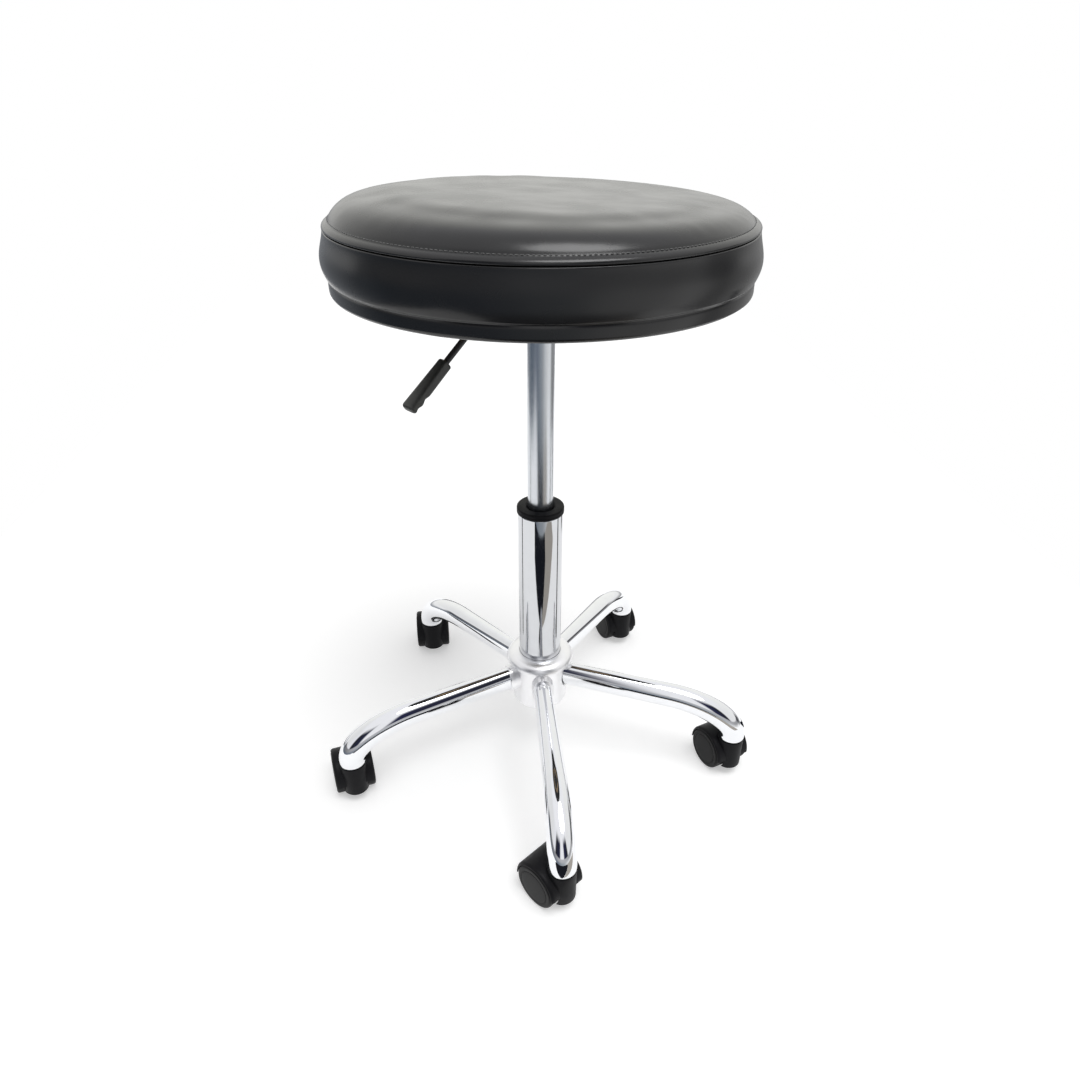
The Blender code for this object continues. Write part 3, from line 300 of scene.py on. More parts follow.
def moved(mesh: Mesh, matrix: Matrix) -> Mesh:
    """Move a mesh's own points by a matrix."""
    mesh.transform(matrix)
    return mesh


def evaluated(maker: bpy.types.Object) -> Mesh:
    """Give a copy of an object's mesh with its modifiers applied, and remove the object.

    Args:
        maker: A linked object with modifiers.

    Returns:
        The new mesh.
    """
    depsgraph = bpy.context.evaluated_depsgraph_get()
    mesh = bpy.data.meshes.new_from_object(maker.evaluated_get(depsgraph))
    bpy.data.objects.remove(maker, do_unlink=True)
    return mesh


def workpiece(mesh: Mesh) -> bpy.types.Object:
    """Link a mesh into the scene as a passing object that modifiers can work on."""
    maker = bpy.data.objects.new("workpiece", mesh)
    bpy.context.scene.collection.objects.link(maker)
    return maker


def combined(mesh: Mesh, tool: Mesh, cut: Cut) -> Mesh:
    """Combine two closed meshes by an exact Boolean.

    Args:
        mesh: The mesh that is worked on.
        tool: The mesh that is added or taken away.
        cut: What is done with the tool.

    Returns:
        The resulting mesh.
    """
    maker = workpiece(mesh)
    other = workpiece(tool)
    step = maker.modifiers.new("combine", "BOOLEAN")
    step.operation = cut.value
    step.solver = "EXACT"
    step.object = other
    result = evaluated(maker)
    bpy.data.objects.remove(other, do_unlink=True)
    result.shade_smooth()
    result.set_sharp_from_angle(angle=SHARP_EDGE)
    return result


def round_ring(place: Vector, across: Vector, lift: Vector, radius: float, sides: int) -> Ring:
    """Give a round ring in the plane of two directions.

    Args:
        place: The ring's middle.
        across: The direction of the first point.
        lift: The direction of the point a quarter of the way round.
        radius: The ring's radius.
        sides: How many points the ring has.

    Returns:
        The ring's points.
    """
    return [
        place + across * radius * math.cos(t) + lift * radius * math.sin(t) for t in turns(sides)
    ]


def tube_ring(place: Vector, pitch: float, radius: float, sides: int) -> Ring:
    """Give a round ring square to a path in the XZ plane that rises by an angle there."""
    lift = Vector((-math.sin(pitch), 0.0, math.cos(pitch)))
    return round_ring(place, Vector((0.0, 1.0, 0.0)), lift, radius, sides)


def between(low: float, high: float, share: float) -> float:
    """Give the value at a share of the way from low to high."""
    return low + (high - low) * share


def squared(value: float, power: float) -> float:
    """Raise a sine or cosine to a power and keep its sign, which squares up a round section."""
    return math.copysign(abs(value) ** power, value)


def eased(value: float, low: float, high: float) -> float:
    """Run smoothly from 0 at low to 1 at high."""
    share = min(1.0, max(0.0, (value - low) / (high - low)))
    return share * share * (3.0 - 2.0 * share)


class Graph:
    """A node tree, with short calls that add and link its nodes."""

    def __init__(self, owner: bpy.types.Material | bpy.types.World) -> None:
        """Take over the node tree of a material or a world."""
        owner.use_nodes = True
        self.tree: bpy.types.NodeTree = owner.node_tree

    def link(self, source: Socket, target: Socket) -> None:
        """Link an output to an input."""
        self.tree.links.new(source, target)

    def node(self, kind: str, *sources: Socket, **options: str) -> bpy.types.Node:
        """Add a node.

        Args:
            kind: The node's type, without the words that every shader node's type starts with.
            sources: What its first inputs are linked to.
            options: Its own settings, such as its operation.

        Returns:
            The node.
        """
        node = self.tree.nodes.new(f"ShaderNode{kind}")
        for name, value in options.items():
            setattr(node, name, value)
        for source, target in zip(sources, node.inputs):
            self.link(source, target)
        return node

    def worked(self, operation: str, first: Socket, second: Socket) -> Socket:
        """Join two values by a Math operation."""
        return self.node("Math", first, second, operation=operation).outputs["Value"]

    def span(
        self, value: Socket, source: Span, target: Span = UNIT, curve: str = "SMOOTHSTEP"
    ) -> Socket:
        """Map a value from one range to another.

        Args:
            value: The socket that is mapped.
            source: The range it comes in.
            target: The range it leaves in.
            curve: How it runs between the two ends.

        Returns:
            The mapped socket.
        """
        node = self.node("MapRange", value, interpolation_type=curve)
        node.inputs["From Min"].default_value, node.inputs["From Max"].default_value = source
        node.inputs["To Min"].default_value, node.inputs["To Max"].default_value = target
        return node.outputs["Result"]

    def tinted(self, share: Socket, low: Colour | Socket, high: Colour | Socket) -> Socket:
        """Blend two colours by a pattern.

        Args:
            share: The pattern, from 0 to 1.
            low: The colour at 0, or a socket that gives it.
            high: The colour at 1, or a socket that gives it.

        Returns:
            The colour socket.
        """
        node = self.node("Mix", share, data_type="RGBA")
        targets = [socket for socket in node.inputs if socket.type == "RGBA"]
        for target, colour in zip(targets, (low, high)):
            if isinstance(colour, tuple):
                target.default_value = (*colour, 1.0)
            else:
                self.link(colour, target)
        return next(socket for socket in node.outputs if socket.type == "RGBA")


class NodeTable(Graph):
    """A material's node tree, with the patterns that the finishes share."""

    def __init__(self, name: str) -> None:
        """Make a material with a Principled shader and object coordinates."""
        self.material = bpy.data.materials.new(name)
        super().__init__(self.material)
        self.shader = self.tree.nodes["Principled BSDF"]
        self.place = self.node("TexCoord").outputs["Object"]

    def set(self, **values: float | tuple) -> None:
        """Set sockets of the shader, named with _ for a space."""
        for name, value in values.items():
            self.shader.inputs[name.replace("_", " ")].default_value = value

    def feed(self, name: str, source: Socket) -> None:
        """Link a socket to one of the shader's inputs."""
        self.link(source, self.shader.inputs[name])

    def stretched(self, scale: Triple) -> Socket:
        """Give the object coordinates scaled along each axis."""
        node = self.node("Mapping", self.place)
        node.inputs["Scale"].default_value = scale
        return node.outputs["Vector"]

    def clouds(self, scale: float, detail: float, stretch: Triple = (1.0, 1.0, 1.0)) -> Socket:
        """Give a noise pattern.

        Args:
            scale: How many features there are in a metre.
            detail: The number of finer layers.
            stretch: A further scale along each axis.

        Returns:
            The pattern's value socket.
        """
        node = self.node("TexNoise", self.stretched(stretch))
        node.inputs["Scale"].default_value = scale
        node.inputs["Detail"].default_value = detail
        return node.outputs["Fac"]

    def cells(self, scale: float, feature: str = "DISTANCE_TO_EDGE") -> Socket:
        """Give a cell pattern's distance, at so many cells in a metre."""
        node = self.node("TexVoronoi", self.place, feature=feature)
        node.inputs["Scale"].default_value = scale
        return node.outputs["Distance"]

    def ribs(self, scale: float, axis: str, uneven: float = 0.6) -> Socket:
        """Give a slightly uneven wave of bands across an axis, for threads and plies."""
        node = self.node("TexWave", self.place, bands_direction=axis)
        node.inputs["Scale"].default_value = scale
        node.inputs["Distortion"].default_value = uneven
        return node.outputs["Fac"]

    def emboss(
        self, height: Socket, distance: float, strength: float, under: Socket | None = None
    ) -> Socket:
        """Bump the shader's normal by a height pattern.

        Args:
            height: The pattern.
            distance: How high the pattern stands.
            strength: How much of it shows.
            under: An earlier bump that this one lies on.

        Returns:
            The normal socket.
        """
        node = self.node("Bump")
        node.inputs["Distance"].default_value = distance
        node.inputs["Strength"].default_value = strength
        self.link(height, node.inputs["Height"])
        if under is not None:
            self.link(under, node.inputs["Normal"])
        self.feed("Normal", node.outputs["Normal"])
        return node.outputs["Normal"]

    def radius(self) -> Socket:
        """Give the distance from the object's own Z axis."""
        flat = self.stretched((1.0, 1.0, 0.0))
        return self.node("VectorMath", flat, operation="LENGTH").outputs["Value"]


@dataclass(frozen=True)
class Finish:
    """A surface finish that makes its own material once."""

    name: str
    slot: Slot
    colour: Colour
    roughness: float

    @functools.cache
    def material(self) -> bpy.types.Material:
        """Give the finish's material, made at the first call."""
        nodes = NodeTable(self.name)
        self.dress(nodes)
        return nodes.material

    def dress(self, nodes: NodeTable) -> None:
        """Set the material's nodes; each kind of finish has its own."""
        raise NotImplementedError

    def lighter(self, factor: float) -> Colour:
        """Give the finish's colour, brightened by a factor."""
        red, green, blue = self.colour
        return (red * factor, green * factor, blue * factor)

    def tint(self, nodes: NodeTable, pattern: Socket, low: float, high: float) -> None:
        """Vary the colour by a pattern, between two factors of the finish's own."""
        nodes.feed("Base Color", nodes.tinted(pattern, self.lighter(low), self.lighter(high)))

    def mottle(
        self, nodes: NodeTable, pattern: Socket, less: float, more: float, span: Span = NOISE_SPAN
    ) -> None:
        """Vary the roughness by a pattern.

        Args:
            nodes: The material's nodes.
            pattern: The pattern.
            less: How far the roughness goes below the finish's own.
            more: How far it goes above.
            span: The pattern's range that counts.
        """
        rough = (self.roughness - less, self.roughness + more)
        nodes.feed("Roughness", nodes.span(pattern, span, rough))


@dataclass(frozen=True)
class Vinyl(Finish):
    """Soft upholstery vinyl with a fine pebble grain and a low gloss."""

    grain: float = 1.15 * MM
    relief: float = 0.02 * MM
    patches: float = 14.0
    scuffs: float = 20.0
    waves: float = 16.0
    wave_height: float = 0.8 * MM

    def dress(self, nodes: NodeTable) -> None:
        """Lay the pebble grain, slow waves and patches of gloss."""
        nodes.set(IOR=1.42, Coat_Weight=0.3, Coat_Roughness=0.18)
        self.tint(nodes, nodes.clouds(self.patches, 3.0), 1.0, 1.5)
        self.mottle(nodes, nodes.clouds(self.scuffs, 3.0), 0.03, 0.04)
        pebbles = nodes.span(nodes.cells(1.0 / self.grain), (0.0, 0.28), UNIT)
        waves = nodes.emboss(nodes.clouds(self.waves, 1.0), self.wave_height, 0.3)
        nodes.emboss(pebbles, self.relief, 0.25, under=waves)


@dataclass(frozen=True)
class Thread(Finish):
    """Twisted sewing thread."""

    twist: float = 0.7 * MM
    relief: float = 0.08 * MM

    def dress(self, nodes: NodeTable) -> None:
        """Lay the twist of the yarn over the thread."""
        nodes.set(Sheen_Weight=0.2, Sheen_Roughness=0.5, Roughness=self.roughness)
        yarn = nodes.ribs(0.3 / self.twist, "DIAGONAL")
        self.tint(nodes, yarn, 1.0, 1.8)
        nodes.emboss(yarn, self.relief, 0.6)


@dataclass(frozen=True)
class Chrome(Finish):
    """Bright chrome plate over polished tube."""

    polish: float = 20.0
    ripple: float = 0.35 * MM
    haze: float = 90.0

    def dress(self, nodes: NodeTable) -> None:
        """Lay the faint ripple of the polished tube and its thin haze."""
        nodes.set(Metallic=1.0)
        haze = nodes.clouds(self.haze, 3.0)
        self.tint(nodes, haze, 1.0, 1.08)
        self.mottle(nodes, haze, 0.0, 0.04, (0.3, 0.8))
        nodes.emboss(nodes.clouds(self.polish, 1.0), self.ripple, 0.18)


@dataclass(frozen=True)
class SatinChrome(Finish):
    """Ground and hard-chromed tube with fine marks round it."""

    marks: float = 1500.0
    relief: float = 0.002 * MM
    haze: float = 40.0

    def dress(self, nodes: NodeTable) -> None:
        """Lay the grinding marks round the tube and slow patches of haze."""
        nodes.set(Metallic=1.0)
        rings = nodes.clouds(1.0, 2.0, (30.0, 30.0, self.marks))
        haze = nodes.clouds(self.haze, 2.0)
        self.tint(nodes, haze, 1.0, 1.12)
        self.mottle(nodes, rings, 0.015, 0.015)
        nodes.emboss(rings, self.relief, 0.1)


@dataclass(frozen=True)
class BareSteel(Finish):
    """Zinc-plated steel with a grey spangle."""

    spangle: float = 260.0
    dullness: float = 150.0
    relief: float = 0.06 * MM

    def dress(self, nodes: NodeTable) -> None:
        """Lay the spangle and a mottled dullness."""
        nodes.set(Metallic=1.0)
        grains = nodes.cells(self.spangle, "F1")
        self.tint(nodes, grains, 0.8, 1.15)
        dull = nodes.clouds(self.dullness, 3.0)
        self.mottle(nodes, dull, 0.08, 0.1)
        nodes.emboss(dull, self.relief, 0.3)


@dataclass(frozen=True)
class PaintedSteel(Finish):
    """Black powder coat with an orange-peel skin."""

    peel: float = 700.0
    dust: float = 45.0
    relief: float = 0.07 * MM

    def dress(self, nodes: NodeTable) -> None:
        """Lay the orange peel and a little dust."""
        nodes.set(Coat_Weight=0.15, Coat_Roughness=0.3)
        peel = nodes.clouds(self.peel, 2.0)
        dust = nodes.clouds(self.dust, 4.0)
        self.tint(nodes, dust, 1.0, 1.9)
        self.mottle(nodes, dust, 0.05, 0.08)
        nodes.emboss(peel, self.relief, 0.35)


@dataclass(frozen=True)
class MouldedPlastic(Finish):
    """Black moulded plastic with a fine spark-eroded texture."""

    grain: float = 2200.0
    flow: float = 60.0
    relief: float = 0.04 * MM
    gloss: float = 0.12

    def dress(self, nodes: NodeTable) -> None:
        """Lay the mould's grain and faint flow marks."""
        nodes.set(Specular_IOR_Level=self.gloss)
        flow = nodes.clouds(self.flow, 3.0)
        self.tint(nodes, flow, 1.0, 1.8)
        self.mottle(nodes, flow, 0.06, 0.08)
        nodes.emboss(nodes.clouds(self.grain, 1.0), self.relief, 0.35)


@dataclass(frozen=True)
class WheelPlastic(Finish):
    """Black nylon, rubbed dull and a little dusty on its tread."""

    tread: float = 25.0 * MM
    rubbed: float = 2.2 * MM
    grain: float = 1800.0
    dust: float = 120.0
    relief: float = 0.04 * MM
    gloss: float = 0.12

    def dress(self, nodes: NodeTable) -> None:
        """Lay the dusty tread and the mould's grain."""
        nodes.set(Specular_IOR_Level=self.gloss)
        rim = nodes.span(nodes.radius(), (self.tread - self.rubbed, self.tread), UNIT)
        specks = nodes.span(nodes.clouds(self.dust, 4.0), (0.35, 0.7), UNIT)
        dust = nodes.worked("MULTIPLY", rim, specks)
        self.tint(nodes, dust, 1.0, 3.2)
        self.mottle(nodes, dust, 0.0, 0.2, UNIT)
        nodes.emboss(nodes.clouds(self.grain, 1.0), self.relief, 0.3)


@dataclass(frozen=True)
class Rubber(Finish):
    """Matt black rubber."""

    bloom: float = 80.0
    tooth: float = 900.0
    relief: float = 0.08 * MM

    def dress(self, nodes: NodeTable) -> None:
        """Lay the grey bloom and a fine roughness."""
        bloom = nodes.clouds(self.bloom, 4.0)
        self.tint(nodes, bloom, 1.0, 2.0)
        self.mottle(nodes, bloom, 0.08, 0.05)
        nodes.emboss(nodes.clouds(self.tooth, 2.0), self.relief, 0.4)


@dataclass(frozen=True)
class Plywood(Finish):
    """Birch plywood with long grain on its faces."""

    ply: float = 1.5 * MM
    figure: float = 22.0
    narrow: float = 12.0
    relief: float = 0.2 * MM

    def dress(self, nodes: NodeTable) -> None:
        """Lay the long grain and the plies that show at the edge."""
        grain = nodes.clouds(self.figure, 4.0, (1.0, self.narrow, 1.0))
        plies = nodes.ribs(0.16 / self.ply, "Z")
        streaks = nodes.worked("MULTIPLY", grain, nodes.span(plies, UNIT, (0.75, 1.0)))
        red, green, blue = self.colour
        late_wood = (red * 0.55, green * 0.5, blue * 0.42)
        nodes.feed("Base Color", nodes.tinted(streaks, late_wood, self.lighter(1.15)))
        self.mottle(nodes, grain, 0.06, 0.08)
        nodes.emboss(grain, self.relief, 0.4)


@dataclass(frozen=True)
class DustCloth(Finish):
    """Thin black lining cloth with an open weave."""

    thread: float = 0.9 * MM
    fluff: float = 50.0
    relief: float = 0.25 * MM

    def dress(self, nodes: NodeTable) -> None:
        """Lay the crossing threads and a little fluff."""
        warp = nodes.ribs(0.16 / self.thread, "X")
        weft = nodes.ribs(0.16 / self.thread, "Y")
        weave = nodes.worked("MAXIMUM", warp, weft)
        fluff = nodes.clouds(self.fluff, 5.0)
        shade = nodes.worked("MULTIPLY", weave, nodes.span(fluff, NOISE_SPAN, (0.6, 1.0)))
        self.tint(nodes, shade, 0.5, 1.6)
        nodes.set(Roughness=self.roughness, Sheen_Weight=0.15, Sheen_Roughness=0.6)
        nodes.emboss(weave, self.relief, 0.6)


SEAT_VINYL = Vinyl("seat vinyl", Slot.VINYL, (0.0075, 0.0075, 0.008), 0.25)
SEAM_THREAD = Thread("seam thread", Slot.VINYL, (0.1, 0.1, 0.1), 0.55)
LEG_CHROME = Chrome("leg chrome plate", Slot.CHROME, (0.83, 0.84, 0.86), 0.035)
COLUMN_CHROME = Chrome("column chrome plate", Slot.CHROME, (0.6, 0.61, 0.63), 0.045)
# The hub's chrome is rougher than the legs' plate, and that roughness is its own. Its colour is
# raised above the legs' as painted brightness that stands in for the glare the hub catches.
HUB_CHROME_PAINTED_BRIGHT = Chrome("hub chrome plate", Slot.CHROME, (0.9, 0.9, 0.91), 0.34)
TUBE_SATIN = SatinChrome("ground tube", Slot.SATIN_CHROME, (0.6, 0.62, 0.65), 0.24)
ZINC_STEEL = BareSteel("zinc plate", Slot.STEEL, (0.56, 0.57, 0.58), 0.36)
BLACK_COAT = PaintedSteel("black powder coat", Slot.BLACK_STEEL, (0.012, 0.012, 0.013), 0.42)
BLACK_MOULDING = MouldedPlastic("black moulding", Slot.BLACK_PLASTIC, (0.006, 0.006, 0.007), 0.44)
# A lighter copy of the black moulding. Its raised colour is painted light that stands in for the
# light on the grip's top face. Its higher gloss is the grip's own.
GRIP_MOULDING_PAINTED_LIGHT = MouldedPlastic(
    "grip moulding", Slot.BLACK_PLASTIC, (0.02, 0.021, 0.019), 0.4, gloss=0.6
)
CASTER_NYLON = WheelPlastic("caster nylon", Slot.WHEEL_PLASTIC, (0.006, 0.006, 0.0065), 0.4)
BUFFER_RUBBER = Rubber("buffer rubber", Slot.RUBBER, (0.014, 0.014, 0.014), 0.8)
BIRCH_PLY = Plywood("birch plywood", Slot.PLYWOOD, (0.56, 0.4, 0.24), 0.6)
LINING_CLOTH = DustCloth("lining cloth", Slot.DUST_CLOTH, (0.02, 0.02, 0.021), 0.85)


def add_piece(
    name: str, mesh: Mesh, finish: Finish, body: str, place: Matrix, *nodes: str
) -> bpy.types.Object:
    """Set a dressed piece on the frame.

    Args:
        name: The piece's name.
        mesh: Its mesh, in its own axes.
        finish: What it is finished with.
        body: The frame's body that it moves with.
        place: Where its own axes stand in the frame.
        nodes: The frame's nodes that it stands for.

    Returns:
        The piece.
    """
    piece = bpy.data.objects.new(name, mesh)
    bpy.context.scene.collection.objects.link(piece)
    piece.matrix_world = place
    if not mesh.materials:
        mesh.materials.append(finish.material())
    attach(piece, body)
    if nodes:
        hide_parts(*nodes)
    LOG.info("%s: %d faces on %s, %s", name, len(mesh.polygons), body, finish.name)
    return piece


def refinish(finish: Finish, *nodes: str) -> None:
    """Give a detailed finish to frame nodes that keep their own shape."""
    for name in nodes:
        mesh = frame["nodes"][name].data
        mesh.materials.clear()
        mesh.materials.append(finish.material())
        LOG.info("%s: kept from the frame, %s", name, finish.name)


@dataclass(frozen=True)
class StoolFrame:
    """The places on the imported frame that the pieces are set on."""

    joints: dict[str, dict]

    @classmethod
    def read(cls) -> "StoolFrame":
        """Read the joints of the loaded frame."""
        return cls({joint["name"]: joint for joint in frame["joints"]})

    def column(self) -> Matrix:
        """Give the column's axis at floor height."""
        x, y, _ = self.joints["seat_swivel"]["pos_m"]
        return Matrix.Translation((x, y, 0.0))

    def leg(self, number: int) -> Matrix:
        """Give a leg's place at the column's axis, with +X out along the leg."""
        tip = Vector(self.joints[f"caster_swivel_{number}"]["pos_m"])
        out = tip - self.column().translation
        return self.column() @ Matrix.Rotation(math.atan2(out.y, out.x), 4, "Z")

    def caster(self, number: int) -> Matrix:
        """Give a caster's swivel axis at floor height: +X towards its wheels, +Y along its axle."""
        x, y, _ = self.joints[f"caster_swivel_{number}"]["pos_m"]
        along = Vector(self.joints[f"wheel_left_spin_{number}"]["axis"]).normalized()
        return self.standing(Vector((x, y, 0.0)), along)

    def lever(self) -> Matrix:
        """Give the lever's pivot, with +X out along the lever and +Y along its pin."""
        pull = self.joints["lever_pull"]
        return self.standing(Vector(pull["pos_m"]), -Vector(pull["axis"]).normalized())

    def mechanism(self) -> Matrix:
        """Give the column's axis at floor height, turned as the lever is."""
        turned_as = self.lever().to_3x3().to_4x4()
        return self.column() @ turned_as

    @staticmethod
    def standing(place: Vector, across: Vector) -> Matrix:
        """Give an upright place whose +Y is a level direction."""
        out = across.cross(UP)
        matrix = Matrix((out, across, UP)).transposed().to_4x4()
        matrix.translation = place
        return matrix


CREASE = ((0.4, 0.6), (1.0, -0.4), (0.45, -1.5), (0.125, -3.0))
STITCH_BOW = (
    (-1.0, -0.5, 0.5),
    (-0.7, 0.25, 0.95),
    (0.0, 0.5, 1.0),
    (0.7, 0.25, 0.95),
    (1.0, -0.5, 0.5),
)
COVER_CLOTH = {
    "quality": 6,
    "mass": 0.3,
    "tension_stiffness": 18.0,
    "compression_stiffness": 18.0,
    "shear_stiffness": 8.0,
    "bending_stiffness": 1.5,
    "use_pressure": True,
}


@dataclass
class Cushion:
    """The padded seat: a vinyl cover with a top-stitched seam, drawn over foam on a round board."""

    stool: StoolFrame
    radius: float = 194.6 * MM
    sides: int = 256
    core_sides: int = 128
    lining_sides: int = 160
    seam_height: float = 55.1 * MM
    seam_depth: float = 3.4 * MM
    seam_gap: float = 0.7 * MM
    seam_lip: float = 1.5 * MM
    hem_width: float = 4.8 * MM
    hem_rise: float = 4.4 * MM
    hem_start: float = math.radians(50.0)
    stitch_inset: float = 5.8 * MM
    stitch_dip: float = 0.5 * MM
    stitch_groove: float = 1.1 * MM
    stitch_count: int = 296
    stitch_length: float = 3.0 * MM
    thread_radius: float = 0.38 * MM
    thread_sides: int = 6
    band_bulge: float = 4.9 * MM
    band_bias: float = 1.35
    band_draw: float = 0.55
    crease: float = 0.8 * MM
    foot_round: float = 4.2 * MM
    skin: float = 1.6 * MM
    return_width: float = 15.0 * MM
    crown_rise: float = 16.3 * MM
    crown_power: float = 15.0
    swell_cap: float = 2.0 * MM
    lean: float = 7.5 * MM
    lean_heading: float = math.radians(197.0)
    lean_edge: int = 4
    lean_fullness: float = 0.7
    wave_height: float = 0.2 * MM
    wave_length: float = 48.0 * MM
    pucker_height: float = 0.15 * MM
    fine_wave_share: float = 0.45
    fine_wave_length: float = 0.4
    band_wave_height: float = 0.35 * MM
    band_wave_length: float = 0.8
    slack_width: float = 60.0 * MM
    pucker_count: float = 24.0
    pucker_start: float = 26.0 * MM
    pucker_peak: float = 4.0 * MM
    pucker_end: float = 2.0 * MM
    voxel: float = 5.0 * MM
    pressure: float = 4.0
    frames: int = 20
    neighbours: int = 50
    blur: float = 3.0
    tack_inset: float = 4.0 * MM
    staple_count: int = 44
    staple_width: float = 10.0 * MM
    staple_wire: float = 0.5 * MM
    staple_leg: float = 1.2 * MM
    staple_bend: float = 0.7 * MM
    staple_skew: float = 0.16
    staple_proud: float = 0.6
    staple_nick: float = 0.1 * MM
    lining_inner: float = 111.5 * MM
    lining_sag: float = 0.5 * MM
    lining_ripple: float = 0.3 * MM
    lining_ripple_length: float = 26.0 * MM

    def __post_init__(self) -> None:
        """Take the seat's heights from the frame."""
        self.bottom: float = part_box("seat_side_band")[0].z
        self.board_top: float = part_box("seat_board")[1].z
        self.seam: float = self.bottom + self.seam_height
        self.hem_radius: float = self.radius - self.hem_width
        self.hem: float = self.seam + self.seam_lip + self.hem_rise
        self.free_edge: float = self.radius - self.stitch_inset - 3 * self.stitch_groove

    def crown_at(self, reach: float) -> float:
        """Give the crown's height at a distance from the middle, before the padding swells."""
        return self.hem + self.crown_rise * (1.0 - (reach / self.hem_radius) ** self.crown_power)

    def band_at(self, share: float) -> Vector:
        """Give a point of the side band between the seam's lip (0) and the board's top edge (1)."""
        top = self.seam - self.seam_lip
        bulge = self.band_bulge * math.sin(math.pi * share**self.band_bias)
        return Vector((self.radius + bulge, top + (self.board_top - top) * share))

    def crown_outline(self) -> list[Vector]:
        """List the crown from its middle to the hem, with the groove that the stitches draw."""
        stitch = self.radius - self.stitch_inset
        edge = stitch - 4 * self.stitch_groove
        reaches = [edge * math.sin(turn) for turn in spread(0.0, QUARTER, 60)]
        reaches += spread(edge, self.hem_radius, 12)[1:-1]
        points = []
        for reach in reaches:
            dip = self.stitch_dip * math.exp(-(((reach - stitch) / self.stitch_groove) ** 2))
            points.append(Vector((reach, self.crown_at(reach) - dip)))
        return points

    def seam_outline(self) -> list[Vector]:
        """List the rolled hem, the crevice of the seam and the band's upper lip."""
        first = self.hem_start
        low = self.seam + self.seam_lip
        out = self.hem_width / (1.0 - math.sin(first))
        up = self.hem_rise / math.cos(first)
        roll = []
        for turn in spread(first, QUARTER, 10):
            reach = self.hem_radius + out * (math.sin(turn) - math.sin(first))
            roll.append(Vector((reach, low + up * math.cos(turn))))
        lip = self.seam_lip - self.seam_gap / 2
        under = arc((self.radius - lip, low), lip, 0.0, -QUARTER, 5)[1:]
        crevice = [Vector((self.radius - self.seam_depth, self.seam))]
        over = arc((self.radius - lip, self.seam - self.seam_lip), lip, QUARTER, 0.0, 5)[:-1]
        return roll + under + crevice + over

    def foot_outline(self) -> list[Vector]:
        """List the band from the seam down, its crease at the board and its return under it."""
        band = [self.band_at(share) for share in spread(0.0, 1.0, 34)[:-1]]
        crease = [
            Vector((self.radius - self.crease * share, self.board_top + rise * MM))
            for share, rise in CREASE
        ]
        heel = (self.radius - self.foot_round, self.bottom + self.foot_round)
        foot = arc(heel, self.foot_round, 0.0, -QUARTER, 6)
        flange = self.radius - self.tack_inset - self.return_width
        inner_foot = self.radius - self.skin
        inside = [
            Vector((flange, self.bottom)),
            Vector((flange, self.bottom + self.skin)),
            Vector((inner_foot - self.tack_inset, self.bottom + self.skin)),
            Vector((inner_foot, self.bottom + self.foot_round)),
            Vector((inner_foot, self.board_top + FIT)),
            Vector((0.0, self.board_top + FIT)),
        ]
        return band + crease + foot + inside

    def core_mesh(self) -> Mesh:
        """Make the plain padding that the simulation swells: the cushion without its seams."""
        reaches = spread(0.0, self.hem_radius, 20)
        crown = [Vector((reach, self.crown_at(reach))) for reach in reaches]
        waist = [Vector((self.radius - self.seam_depth, self.seam))]
        band = [self.band_at(share) for share in spread(0.0, 1.0, 12)]
        foot = [
            Vector((self.radius - self.foot_round, self.bottom)),
            Vector((0.0, self.bottom)),
        ]
        return turned("padding", crown + waist + band + foot, self.core_sides, closed=False)

    def held(self, point: Vector) -> bool:
        """Tell whether the seam, the board or the staples hold a point of the padding still."""
        reach = math.hypot(point.x, point.y)
        at_seam = abs(point.z - self.seam) < self.voxel and reach > self.hem_radius - self.voxel
        return at_seam or point.z < self.board_top + NEAR

    def swelling(self) -> Callable[[Vector], Vector]:
        """Swell the padding by a cloth simulation with air pressure.

        Returns:
            A function that gives the cover's move at a point.
        """
        scene = bpy.context.scene
        blank = workpiece(self.core_mesh())
        grid = blank.modifiers.new("voxels", "REMESH")
        grid.mode = "VOXEL"
        grid.voxel_size = self.voxel
        core = workpiece(evaluated(blank))
        starts = [vertex.co.copy() for vertex in core.data.vertices]
        pins = core.vertex_groups.new(name="held")
        pins.add([place for place, start in enumerate(starts) if self.held(start)], 1.0, "REPLACE")
        cloth = core.modifiers.new("cover", "CLOTH")
        for name, value in COVER_CLOTH.items():
            setattr(cloth.settings, name, value)
        cloth.settings.uniform_pressure_force = self.pressure
        cloth.settings.effector_weights.gravity = 0.0
        cloth.settings.vertex_group_mass = pins.name
        cloth.point_cache.frame_start = 1
        cloth.point_cache.frame_end = self.frames
        for number in range(1, self.frames + 1):
            scene.frame_set(number)
        swollen = evaluated(core)
        scene.frame_set(1)
        moves = []
        tree = KDTree(len(starts))
        for place, (start, vertex) in enumerate(zip(starts, swollen.vertices)):
            move = vertex.co - start
            moves.append(move * min(1.0, self.swell_cap / max(move.length, ON_AXIS)))
            tree.insert(start, place)
        tree.balance()
        farthest = max(move.length for move in moves)
        LOG.info("padding swelled: %d points, up to %.1f mm", len(moves), farthest / MM)

        def move_at(point: Vector) -> Vector:
            """Average the moves of the padding's points round a place."""
            total = Vector((0.0, 0.0, 0.0))
            weight = 0.0
            for _, place, distance in tree.find_n(point, self.neighbours):
                share = math.exp(-((distance / (self.blur * self.voxel)) ** 2))
                total += moves[place] * share
                weight += share
            return total / max(weight, 1e-9)

        return move_at

